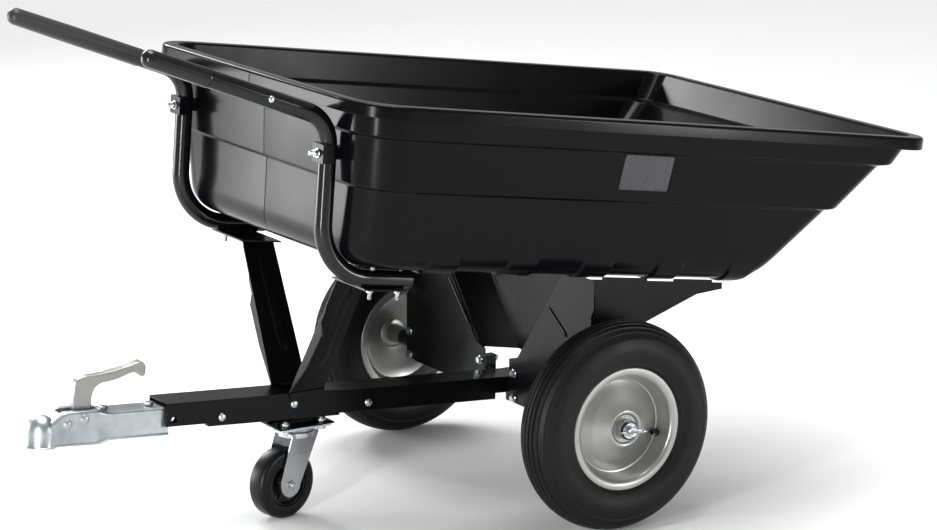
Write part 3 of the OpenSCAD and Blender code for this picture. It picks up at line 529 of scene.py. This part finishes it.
def tyre_profile():
    """The tyre's section as (radius, offset from its middle): grooved tread, sidewall and bead."""
    def crown(a, sink=0.0):
        return SECTION_R + math.sqrt(SECTION_HALF ** 2 - a * a) * 0.995 - sink, a

    tread = []
    for g in GROOVES:
        depth = 2.6 if abs(g) < 30 else 1.6
        tread += [crown(g - 4.2), crown(g - 1.7), crown(g - 1.1, depth)]
        tread += [crown(g + 1.1, depth), crown(g + 1.7), crown(g + 4.2)]
    side = []
    for degrees, proud in ((34, 0), (31, 0), (30, 0.8), (26, 0.8), (25, 0), (14, 0), (4, 0), (-8, 0),
                           (-20, 0), (-30, 0), (-31.5, 0.9), (-35, 0.9), (-36.5, 0), (-44, 0), (-45, 1),
                           (-49, 1), (-50, 0), (-54, 0)):
        a = math.radians(degrees)
        r = SECTION_HALF + proud - 0.4
        side.append((SECTION_R + r * math.sin(a), r * math.cos(a)))
    bead = [(108, 36.5), (104, 35.5), (102.3, 33), (102.3, 25), (110, 22), (112, 26), (120, 30)]
    inner = [(SECTION_R + 41 * math.sin(a), 41 * math.cos(a))
             for a in (math.radians(d) for d in range(-40, 91, 13))]
    upper = side + bead + inner[1:]
    lower = [(r, -a) for r, a in upper[::-1]]
    return tread + upper + lower


def rim_profile():
    """The pressed rim: rolled flanges, bead seats, the well, and the dished disc that climbs to the hub."""
    flange_back = [(102, -37), (110, -38.5), (115.5, -38.2), (117.3, -36.5), (116.8, -34.6), (114.5, -34.2),
                   (108, -35.4), (103.8, -34), (102.3, -30), (101.5, -24)]
    well = [(95, -18), (93.6, -14), (93.6, 8), (95, 12), (101.5, 22)]
    flange_front = [(102.3, 29), (103.8, 33), (108, 34.6), (114.5, 33.4), (116.8, 34), (117.3, 36.2),
                    (115.5, 38.3), (110, 38.8), (104.5, 38), (100.8, 35), (99.4, 29), (98.6, 23.6),
                    (92.4, 14), (91, 9)]
    disc_front = [(89.5, 6.6), (87, 5.8), (83, 7.4), (76, 10.8), (70, 14), (55, 22), (41, 29.4), (37, 32.4),
                  (34.5, 34.4), (31, 34.8), (28, 33), (26, 30.6), (19, 30.4)]
    hub = [(19, HUB_OUT - 3), (18, HUB_OUT - 1), (15.2, HUB_OUT), (15.2, -HUB_IN), (19, -HUB_IN)]
    disc_back = [(19, 27.2), (27, 27.2), (31, 30), (39, 26.6), (69, 11), (83, 4.4), (89, 3)]
    barrel_inside = [(91, -15), (92.6, -20.5), (98.6, -25), (99.6, -34)]
    return flange_back + well + flange_front + disc_front + hub + disc_back + barrel_inside


def hairpin_path():
    """A straight leg through the axle, a round eye, and a leg that bulges over the axle's end."""
    eye_x = -22
    eye_r = 6.5
    path = [Vector((23, 0, 0)), Vector((-18, 0, 0))]
    for a in (math.radians(d) for d in range(0, 181, 15)):
        path.append(Vector((eye_x - eye_r * math.sin(a), eye_r - eye_r * math.cos(a), 0)))
    for x in range(-18, 22, 2):
        waist = 5.4 * math.exp(-((x + 9) / 4.5) ** 2)
        bulge = 1.5 * math.exp(-((x - 3) / 7) ** 2)
        path.append(Vector((x, 2 * eye_r - waist + bulge - max(0, x - 12) * 0.45, 0)))
    return path


def build_wheel(side):
    """A tyre, a rim, its bushes and cap, the valve, and the wire clip on the axle."""
    hand = HAND[side]
    place = hand @ Matrix.Translation(AXLE) @ spin(-90, "X")
    names = {part: "wheel_%s_%s" % (side, part) for part in ("tyre", "rim", "bushes", "valve")}
    for part, profile, material, steps, crisp in (
            ("tyre", tyre_profile(), TYRE_RUBBER, 192, 28), ("rim", rim_profile(), RIM_SILVER, 128, 38)):
        bm = bmesh.new()
        turned(bm, profile, place, steps)
        piece(names[part] + "_turned", bm, material, [names[part]], crisp)
    bm = bmesh.new()
    for low in (-HUB_IN, HUB_OUT - BUSH_LEN):
        high = low + BUSH_LEN
        turned(bm, [(10.1, low), (14.9, low), (14.9, high), (10.1, high)], place, 48)
    cap = [(10.2, 0.02), (16.5, 0.02), (18, 0.6), (18, 2.6), (17, 3.2), (10.2, 3.2)]
    turned(bm, [(r, HUB_OUT + z) for r, z in cap], place, 48)
    piece(names["bushes"] + "_turned", bm, CASTOR_PLASTIC, [names["bushes"]])
    bm = bmesh.new()
    stem = place @ spin(163.5, "Z") @ shift(93, 0, 9) @ spin(-62, "Y")
    turned(bm, [(0, -6), (5, -6), (5.2, 3), (6.6, 3.6), (6.6, 5), (4.6, 6.5), (4.2, 12), (3.9, 13),
                (4.3, 13.2), (4.3, 21), (3.6, 22), (0, 22)], stem, 28)
    piece(names["valve"] + "_turned", bm, CASTOR_RUBBER, [names["valve"]])
    bm = bmesh.new()
    clip = hand @ Matrix.Translation(AXLE) @ shift(0, HUB_OUT + AXLE_SPARE - CLIP_INSET, 0)
    tube(bm, hairpin_path(), 2.1, (0, 0, 1), clip, 16)
    piece("hairpin_%s_wire" % side, bm, ZINC_SMALL, ["hairpin_" + side])


build_wheel("left")
build_wheel("right")


def build_axle():
    """The axle with its ends broken, and a washer outside each hub."""
    bm = bmesh.new()
    half = AXLE.y / MM + HUB_OUT + AXLE_SPARE
    place = Matrix.Translation((AXLE.x, 0, AXLE.z)) @ spin(-90, "X")
    profile = [(0, -half), (8.6, -half), (10, -half + 1.6)]
    turned(bm, profile + [(r, -z) for r, z in profile[::-1]], place, 48)
    piece("axle_bar", bm, AXLE_STEEL, ["axle"])
    bm = bmesh.new()
    for hand in BOTH:
        outer = hand @ Matrix.Translation(AXLE) @ spin(-90, "X")
        washer(bm, outer, 15, 10.2, HUB_OUT + 3.4, 2.4)
    piece("axle_washer_pair", bm, ZINC_SMALL, ["axle_washers"])


build_axle()

# ---------------------------------------------------------------- side tubes and handles

# Distance of a side tube from the middle of the cart, and its sizes
TUBE_Y = 281
TUBE_R = 16.5
TUBE_WALL = 3
HANDLE_RISE = 13.3
RUN_Z = FLOOR_Z - 5 - TUBE_R
# Corners of a side tube, before bending, and their bend radii
RUN_START = Vector((335, 0, RUN_Z))
RUN_FOOT = Vector((521, 0, RUN_Z))
SHOULDER = Vector((539, 0, -46.5))
BENDS = (105, 65)
HANDLE_WAY = spin(-HANDLE_RISE, "Y").to_3x3() @ Vector((1, 0, 0))
# Lengths along the handle from the shoulder: its screw, the tube's end, and the end of the grip
HANDLE_SCREW_AT = 133
TUBE_END = 255
HANDLE_END = 390


def on_handle(hand, at):
    """A place on a handle's axis with local Z along it."""
    point = SHOULDER + HANDLE_WAY * at
    return hand @ TRAY_FRAME @ shift(point.x, TUBE_Y, point.z) @ spin(90 - HANDLE_RISE, "Y")


def build_handle(side, grip_material, sleeve):
    """One side tube with its grip. sleeve is where the grip starts along the handle."""
    hand = HAND[side]
    bm = bmesh.new()
    path = bent_path((RUN_START, RUN_FOOT, SHOULDER, SHOULDER + HANDLE_WAY * TUBE_END), BENDS)
    tube(bm, path, TUBE_R, (0, 1, 0), hand @ TRAY_FRAME @ shift(0, TUBE_Y, 0), 44, TUBE_R - TUBE_WALL)
    piece("side_tube_%s_bent" % side, bm, TUBE_BLACK, ["side_tube_" + side])
    bm = bmesh.new()
    length = HANDLE_END - sleeve
    bare = TUBE_END - sleeve
    profile = [(0, 0.4), (TUBE_R - 0.6, 0.4), (TUBE_R + 0.6, 1.4), (TUBE_R + 0.9, 4), (TUBE_R + 0.7, 7)]
    for k in range(1, 19):
        at = 7 + (length - 24) * k / 18
        profile.append((TUBE_R + 0.6 - 1.2 * max(0, at - bare) / (HANDLE_END - TUBE_END), at))
    profile += [((TUBE_R - 0.4) * math.cos(a), length - 17 + 16 * math.sin(a)) for a in
                (math.pi / 2 * k / 8 for k in range(1, 9))]
    turned(bm, profile, on_handle(hand, sleeve), 48)
    piece("handle_grip_%s_sleeve" % side, bm, grip_material, ["handle_grip_" + side])


build_handle("left", GRIP_BLACK, TUBE_END)
# The right grip is painted grey as a painted reflection, and starts further down its handle so that it covers all
# of the far handle in view
build_handle("right", FAR_GRIP_PAINTED_REFLECTION, 104)

# ---------------------------------------------------------------- bolts, clamps and screws

# Where a tube clamp sits on its tube, and how the tube leans there
CLAMP_LEAN = 3.614
CLAMP_X = 535.3
CLAMP_Z = -107
STRUT_BOLT_X = (356, 414)
# Width of the drawbar, thickness of the sheet steel, and half the width over two struts' feet
BAR_W = 74
SHEET = 3
BAR_Y = BAR_W / 2 + 0.1
# Drawbar bolts, along the bar and up from its top face
CROSS_BOLTS = ((636, -34), (484.6, -21), (324, -29.7))
# Radius of the castor's wheel, and how far it trails its swivel
CASTOR_R = 67.5
CASTOR_TRAIL = 38


def bolt_set(name, node, places, **sizes):
    """One piece for all the bolts of a CAD node."""
    bm = bmesh.new()
    for place in places:
        bolt(bm, place, **sizes)
    return piece(name, bm, ZINC_SMALL, [node])


def build_bolts():
    """Every set of bolts, each with its nuts and washers."""
    clamp = TRAY_FRAME @ shift(CLAMP_X, TUBE_Y, CLAMP_Z) @ spin(CLAMP_LEAN, "Y") @ shift(-28, 0, 0)
    bolt_set("clamp_bolt_pair", "clamp_bolts", [hand @ clamp @ spin(90, "Y") for hand in BOTH],
             r=4, grip=48, spare=11, round_head=9)
    bolt_set("strut_bolt_set", "strut_bolts",
             [hand @ TRAY_FRAME @ shift(x, TUBE_Y, FLOOR_Z + WALL + 0.2) @ spin(180, "X")
              for hand in BOTH for x in STRUT_BOLT_X],
             r=4, grip=46.2, spare=12, round_head=9)
    bolt_set("drawbar_bolt_set", "drawbar_bolts",
             [BAR_FRAME @ shift(u, BAR_Y, z) @ spin(90, "X") for u, z in CROSS_BOLTS],
             r=4, grip=BAR_W + 0.2, round_head=8)
    bolt_set("coupling_bolt_pair", "coupling_bolts",
             [BAR_FRAME @ shift(u, 0, -8.8) @ spin(180, "X") for u in (862, 770)],
             r=5, grip=10, washers=False)
    bolt_set("castor_bolt_set", "castor_plate_bolts",
             [Matrix.Translation((CASTOR.x, 0, 0)) @ shift(x, y, 173.8)
              for x in (-38, 38) for y in (-30, 30)],
             r=5, grip=7.6, spare=4, washers=False)
    bolt_set("clamp_screw_set", "clamp_screws",
             [hand @ CART_FRAME @ shift(14.1, y, AXLE.z / MM + z) @ spin(-90, "Y")
              for hand in BOTH for y in (62, 334) for z in (-25, 25)],
             r=4, grip=32.2)
    bolt_set("cradle_cross_bolt", "cradle_bolts", [CART_FRAME @ shift(-22, 37.1, 190) @ spin(90, "X")],
             r=4, grip=74.2, washers=False)
    bolt_set("castor_axle_screw", "castor_axle_bolt",
             [CASTOR_FRAME @ shift(CASTOR_TRAIL, -27.1, CASTOR_R) @ spin(-90, "X")],
             r=5, grip=54.2, washers=False)


def build_handle_screws():
    """A domed screw through the outer side of each tube."""
    bm = bmesh.new()
    for hand in BOTH:
        place = on_handle(hand, HANDLE_SCREW_AT) @ spin(90, "X") @ shift(0, 0, -TUBE_R - 0.9)
        domed(bm, place, 6.2, 3)
        turned(bm, [(0, 0), (3, 0), (3, 12), (0, 13)], place, 24)
    piece("handle_screw_pair", bm, ZINC_SMALL, ["handle_bolts"])


build_bolts()
build_handle_screws()

# ---------------------------------------------------------------- pressed details of the frame


def ridge(bm, place, start, end, width, height):
    """A pressed bead on the local XY plane, rounded across and run out at both ends."""
    start = Vector(start).to_3d()
    end = Vector(end).to_3d()
    along = (end - start).normalized()
    across = Vector((0, 0, 1)).cross(along)
    length = (end - start).length
    rows = []
    for k in range(29):
        s = k / 28 * length
        run = math.sin(math.pi / 2 * min(1, s / width, (length - s) / width))
        row = []
        for m in range(13):
            a = math.pi * m / 12
            offset = across * (-math.cos(a) * width / 2 * (0.35 + 0.65 * run))
            lift = Vector((0, 0, math.sin(a) ** 1.5 * height * run - 0.15))
            row.append(place @ ((start + along * s + offset + lift) * MM))
        for w in (width * 0.3, -width * 0.3):
            row.append(place @ ((start + along * s + across * w + Vector((0, 0, -0.4))) * MM))
        rows.append(row)
    join_rings(bm, rows, caps=True)


# Foot of a strut's web above the ground, and the angle at which the web rises from there
STRUT_FOOT_Z = 246.1
STRUT_SLANT = 58.87
# Rear and front edge of a strut's web at its top, and how far up the web its head starts
STRUT_TOP_X = (412, 474)
STRUT_HEAD_FROM = 270


def strut_place(hand):
    """The plane of a strut's web: local X along the cart, local Y up the web."""
    return hand @ CART_FRAME @ shift(0, BAR_Y, STRUT_FOOT_Z) @ spin(STRUT_SLANT, "X")


def strut_reach(x):
    """How far up the web the tilted top plate is at x."""
    plate_z = RUN_Z - TUBE_R - SHEET - 0.1
    across = (x + plate_z * math.sin(TRAY_TILT)) / math.cos(TRAY_TILT)
    rise = RIM_PIVOT_Z + plate_z * math.cos(TRAY_TILT) + across * math.sin(TRAY_TILT)
    return (rise - STRUT_FOOT_Z) / math.sin(math.radians(STRUT_SLANT)) - 0.5


def build_struts():
    """The pressed beads of both struts' webs, and the heads that meet the tilted plates."""
    bm = bmesh.new()
    for hand in BOTH:
        place = strut_place(hand)
        ridge(bm, place @ spin(180, "Y"), (-446, 60), (-440, 262), 24, 4.2)
        ridge(bm, place @ shift(0, 0, SHEET), (446, 60), (440, 262), 24, 2.6)
    extra("strut_beads", bm, FRAME_BLACK, "front_strut_left")
    bm = bmesh.new()
    rear, front = STRUT_TOP_X
    outline = [(rear, STRUT_HEAD_FROM), (front, STRUT_HEAD_FROM), (front, strut_reach(front)),
               (rear, strut_reach(rear))]
    for place in (strut_place(hand) for hand in BOTH):
        rings = [[place @ (Vector((x, v, w)) * MM) for x, v in outline] for w in (0.1, SHEET - 0.1)]
        join_rings(bm, rings, caps=True)
    extra("strut_web_heads", bm, FRAME_BLACK, "front_strut_left")


def build_cradle_beads():
    """A bead on the front of each wing."""
    front = CART_FRAME @ shift(14, 0, 0) @ spin(90, "Z") @ spin(90, "X")
    bm = bmesh.new()
    for start, end in (((-184, 372), (-97, 282)), ((184, 383), (252, 338))):
        ridge(bm, front, start, end, 11, 3)
    extra("cradle_beads", bm, FRAME_BLACK, "cradle_left")


build_struts()
build_cradle_beads()

# ---------------------------------------------------------------- label, left blank

# The middle of the label in the tray's frame, and half its width and height
LABEL_X = -72
LABEL_Z = -100
LABEL_HALF_W = 54
LABEL_HALF_H = 33


def on_wall(dx, dz, proud):
    """A point near the label's middle, proud of the tray's side."""
    z, front, tail, half_f, half_t = at_height(LABEL_Z + dz, WALL_ROWS[2], WALL_ROWS[3])
    taper = (half_f - half_t) / (front - tail - CORNER_FRONT - CORNER_TAIL)
    y = half_f + (LABEL_X + dx - front + CORNER_FRONT) * taper
    return TRAY_FRAME @ (Vector((LABEL_X + dx, y + proud, z - proud * 0.17)) * MM)


def label_ring(half_w, half_h, r, proud):
    """A rectangle with rounded corners that follows the wall."""
    points = []
    for quarter, (sx, sz) in enumerate(((1, 1), (-1, 1), (-1, -1), (1, -1))):
        for k in range(7):
            a = math.radians(90 * quarter + 15 * k)
            dx = sx * (half_w - r) + r * math.cos(a)
            points.append(on_wall(dx, sz * (half_h - r) + r * math.sin(a), proud))
    return points


def build_label():
    """A thin plate with a raised border."""
    border = ((0, 4, 0.2), (0, 4, 1.3), (0.6, 3.6, 1.6), (2.8, 2.6, 1.6), (3.2, 2.4, 1.2))
    rings = [label_ring(LABEL_HALF_W - inset, LABEL_HALF_H - inset, r, proud) for inset, r, proud in border]
    rings.append(label_ring(26, 8, 1.5, 1.2))
    bm = bmesh.new()
    join_rings(bm, rings, caps=True)
    piece("tray_label_blank", bm, LABEL, ["tray_label"], 20)


build_label()

# ---------------------------------------------------------------- coupling

# Along the drawbar and up from its top face: the pins, the middle of the ball, and the lever's slot
COUP_HALF = 28
LEVER_PIN = (910.8, -19.2)
JAW_PIN = (944.1, -25.8)
BALL = (984, -40)
SLOT = (874, 954)
# Sections of the housing: place along the drawbar, height of its top and of its lower edge
STATIONS = ((742, -9, -58), (744, -9, -58), (800, -9, -58), (858, -9, -58), (866, -8.4, -59),
            (SLOT[0], -6, -62), (882, -3.4, -64), (888, -3, -64), (920, -3, -63.5), (944, -3, -63),
            (949, -3.6, -63), (SLOT[1], -6.4, -63), (962, -12, -63), (970, -17.5, -63), (976, -21, -63))


def housing_section(u, top, low):
    """The pressed channel's outline: a flared lower edge, a side, a rounded shoulder and a flat top."""
    r = 7
    side = [(COUP_HALF + 3.4, low - 0.3), (COUP_HALF + 1.4, low), (COUP_HALF, low + 2.4)]
    side += [(COUP_HALF, top - r)]
    side += [(COUP_HALF - r + r * math.cos(a), top - r + r * math.sin(a)) for a in
             (math.pi / 2 * k / 6 for k in range(1, 7))]
    side += [(17, top - 0.9), (12, top - 1.1)]
    return [BAR_FRAME @ (Vector((u, y, z)) * MM) for y, z in side + [(-y, z) for y, z in side[::-1]]]


def build_housing():
    """A lofted sheet over the drawbar, open where the lever comes through."""
    bm = bmesh.new()
    rows = join_rings(bm, [housing_section(*station) for station in STATIONS], wrap=False)
    middle = len(rows[0]) // 2
    low, high = (k for k, station in enumerate(STATIONS) if station[0] in SLOT)
    slot_faces = [f for k in range(low, high) for f in rows[k][middle - 1].link_faces
                  if rows[k][middle] in f.verts and rows[k + 1][middle] in f.verts]
    bmesh.ops.delete(bm, geom=slot_faces, context="FACES_ONLY")
    housing = piece("coupling_housing_pressed", bm, ZINC, ["coupling_housing"], 40)
    wall = housing.modifiers.new("sheet", "SOLIDIFY")
    wall.thickness = 2.8 * MM
    wall.offset = -1
    round_edges(housing, 0.5 * MM, 2, 50)


def build_cup():
    """The dome over the ball, with a rolled lower edge."""
    outer_r = 29
    inner_r = 25.7
    quarter = [math.radians(d) for d in range(0, 91, 9)]
    edge = [(inner_r, -27), (26.4, -29), (31.2, -29), (31.6, -28.2), (31.4, -26.6), (29.8, -25.4),
            (outer_r, -23)]
    outer = [(outer_r * math.cos(a), outer_r * math.sin(a)) for a in quarter]
    inner = [(inner_r * math.sin(a), inner_r * math.cos(a)) for a in quarter]
    bm = bmesh.new()
    turned(bm, edge + outer + inner, BAR_FRAME @ shift(BALL[0], 0, BALL[1]), 72)
    extra("coupling_cup", bm, ZINC, "coupling_housing")


def lever_outline():
    """The lever from the side: its foot, the bend, the grip with its upturned tip, and back underneath."""
    foot = [(889, -4), (898, -30), (906, -33), (916, -33), (924, -28), (927, -10), (926, 20), (924, 40)]
    above = [(920, 49), (914, 53), (906, 56), (898, 57), (880, 58), (865, 60), (850, 63), (832, 66.5),
             (815, 70), (795, 76)]
    tip = [(787, 77), (782, 74), (779, 68), (779, 60), (780, 53), (783, 49), (787, 49), (790, 51), (794, 55)]
    below = [(798, 57), (806, 57), (815, 55), (835, 48), (850, 45), (860, 43), (868, 42), (876, 39),
             (882, 35), (885, 30), (888, 22), (890, 14)]
    grip_from = 850
    drawn_in = 0.09
    return [(u + drawn_in * max(0, grip_from - u), z) for u, z in foot + above + tip + below]


def lever_half_width(u):
    """The lever narrows at the start of its grip and flares at its tip."""
    grip = max(0, min(1, (880 - u) / 30))
    tip = max(0, min(1, (800 - u) / 16))
    return 8.9 - 1.2 * math.sin(math.pi * grip) + 5.5 * tip ** 1.5 + 1.5 * grip


def build_lever():
    """The outline drawn across, a little wider where it is held."""
    outline = lever_outline()
    rings = [[BAR_FRAME @ (Vector((u, s * lever_half_width(u), z)) * MM) for u, z in outline]
             for s in (1, 0.4, -0.4, -1)]
    bm = bmesh.new()
    join_rings(bm, rings, caps=True)
    lever = piece("coupling_lever_cast", bm, CAST, ["coupling_lever"], 50)
    round_edges(lever, 2.0 * MM, 4, 50)


def build_rivets():
    """The pins of the lever and the jaw, with a domed head and a washer on each side."""
    bm = bmesh.new()
    for u, z in (LEVER_PIN, JAW_PIN):
        for s in (1, -1):
            place = BAR_FRAME @ shift(u, s * (COUP_HALF + 0.2), z) @ spin(90 * s, "X")
            domed(bm, place, 8, 3)
            washer(bm, place, 9.5, 5, -0.4, 0.8)
        turned(bm, [(0, -COUP_HALF), (5, -COUP_HALF), (5, COUP_HALF), (0, COUP_HALF)],
               BAR_FRAME @ shift(u, 0, z) @ spin(90, "X"), 32)
    piece("coupling_rivets", bm, ZINC, ["coupling_pins"])


build_housing()
build_cup()
build_lever()
build_rivets()

# ---------------------------------------------------------------- castor wheel


CASTOR_HALF = 21
CASTOR_WHEEL_FRAME = CASTOR_FRAME @ shift(CASTOR_TRAIL, 0, CASTOR_R) @ spin(-90, "X")


def build_castor_tyre():
    """A solid tyre with round shoulders."""
    round_r = 11
    tread = [(CASTOR_R - round_r + round_r * math.cos(a),
              (CASTOR_HALF - round_r) * (1 if a > 0 else -1) + round_r * math.sin(a))
             for a in (math.radians(d) for d in range(-90, 91, 12))]
    flank = [(54, 21), (50, 21), (44, 20.4), (43, 18)]
    bm = bmesh.new()
    turned(bm, [(r, -z) for r, z in flank[::-1]] + tread + flank, CASTOR_WHEEL_FRAME, 128)
    piece("castor_tyre_turned", bm, CASTOR_RUBBER, ["castor_tyre"])


def build_castor_hub():
    """A turned web with six spokes on each side."""
    side = [(42.6, 18), (40.6, 19.6), (39, 18.8), (37.6, 13), (36.2, 11.6), (31, 10.4), (30.2, 8.4),
            (18, 7.2), (16.4, 9), (15.4, 21.4), (14.4, 23), (10, 23)]
    spoke_len = 22.5
    spoke_w = 3
    outline = [(0, 0), (spoke_len, 0), (spoke_len, spoke_w), (0, spoke_w)]
    bm = bmesh.new()
    turned(bm, side + [(r, -a) for r, a in side[::-1]], CASTOR_WHEEL_FRAME, 96)
    for k in range(6):
        spoke = CASTOR_WHEEL_FRAME @ spin(60 * k, "Z") @ shift(15, -spoke_w / 2, 0)
        for s in (1, -1):
            rings = [[spoke @ (Vector((x, y, s * z)) * MM) for x, y in outline] for z in (6, 12.5)]
            join_rings(bm, rings, caps=True)
    piece("castor_hub_moulded", bm, CASTOR_PLASTIC, ["castor_hub"], 40)


build_castor_tyre()
build_castor_hub()

# ---------------------------------------------------------------- what the CAD already shapes well

for node_name in NODE_SLOT:
    if node_name not in DONE:
        from_cad(node_name)

# ---------------------------------------------------------------- camera, light and floor

CAMERA_AZIMUTH = math.radians(148.4)
CAMERA_ELEVATION = math.radians(13.0)
CAMERA_ROLL = math.radians(0.1)
CAMERA_AIM = Vector((-0.010, 0.119, 0.469))
CAMERA_DISTANCE = 6.05
CAMERA_LENS = 122.95
SENSOR_WIDTH = 36.0


def add_camera():
    """A view from the front left, a little above the tray."""
    data = bpy.data.cameras.new("camera")
    data.lens = CAMERA_LENS
    data.sensor_width = SENSOR_WIDTH
    data.clip_end = 100
    camera = bpy.data.objects.new("camera", data)
    bpy.context.collection.objects.link(camera)
    away = Vector((
        math.sin(CAMERA_AZIMUTH) * math.cos(CAMERA_ELEVATION),
        -math.cos(CAMERA_AZIMUTH) * math.cos(CAMERA_ELEVATION),
        math.sin(CAMERA_ELEVATION),
    ))
    turn = away.to_track_quat("Z", "Y").to_matrix().to_4x4()
    place = Matrix.Translation(CAMERA_AIM + away * CAMERA_DISTANCE)
    camera.matrix_world = place @ turn @ Matrix.Rotation(CAMERA_ROLL, 4, "Z")
    bpy.context.scene.camera = camera


def add_light(name, place, size, power, aim):
    """A soft panel that faces a point of the cart."""
    data = bpy.data.lights.new(name, "AREA")
    data.shape = "RECTANGLE"
    data.size = size[0]
    data.size_y = size[1]
    data.energy = power
    light = bpy.data.objects.new(name, data)
    bpy.context.collection.objects.link(light)
    facing = (Vector(place) - Vector(aim)).to_track_quat("Z", "Y").to_matrix().to_4x4()
    light.matrix_world = Matrix.Translation(place) @ facing


def add_sun():
    """A broad, even key light that keeps the floor white."""
    data = bpy.data.lights.new("key", "SUN")
    data.energy = 1.9
    data.angle = math.radians(40)
    light = bpy.data.objects.new("key", data)
    bpy.context.collection.objects.link(light)
    light.rotation_euler = (math.radians(24), math.radians(-14), 0)


def add_floor():
    """A wide white floor under the cart."""
    bm = bmesh.new()
    bmesh.ops.create_grid(bm, x_segments=2, y_segments=2, size=12)
    mesh = bpy.data.meshes.new("floor")
    bm.to_mesh(mesh)
    bm.free()
    floor = bpy.data.objects.new("floor", mesh)
    bpy.context.collection.objects.link(floor)
    floor.data.materials.append(paint("floor_white", (0.86, 0.86, 0.86), 0.6, spread=0.04, grain=30,
                                      bump=0.02, tint=0.01, specular=0.2))


def add_sky():
    """An even white surround."""
    world = bpy.data.worlds.new("studio")
    world.use_nodes = True
    back = world.node_tree.nodes["Background"]
    back.inputs["Color"].default_value = (1, 1, 1, 1)
    back.inputs["Strength"].default_value = 0.42
    bpy.context.scene.world = world


add_camera()
add_floor()
add_sky()
add_sun()
add_light("top_panel", (0.2, 0.3, 3.6), (1.6, 1.2), 90, aim=(0, 0, 0.5))
add_light("corner_strip", (2.6, 1.7, 0.75), (0.25, 1.4), 62, aim=(0.3, 0.3, 0.5))
add_light("side_strip", (-2.2, 3.4, 0.8), (0.3, 1.5), 45, aim=(-0.3, 0.4, 0.5))
add_light("front_fill", (2.6, -2.6, 0.7), (1.6, 1.3), 80, aim=(0.4, 0, 0.5))
add_light("tail_fill", (0.4, -4.0, 2.4), (1.6, 1.2), 110, aim=(-0.5, 0, 0.6))

bpy.context.scene.view_settings.view_transform = "Standard"
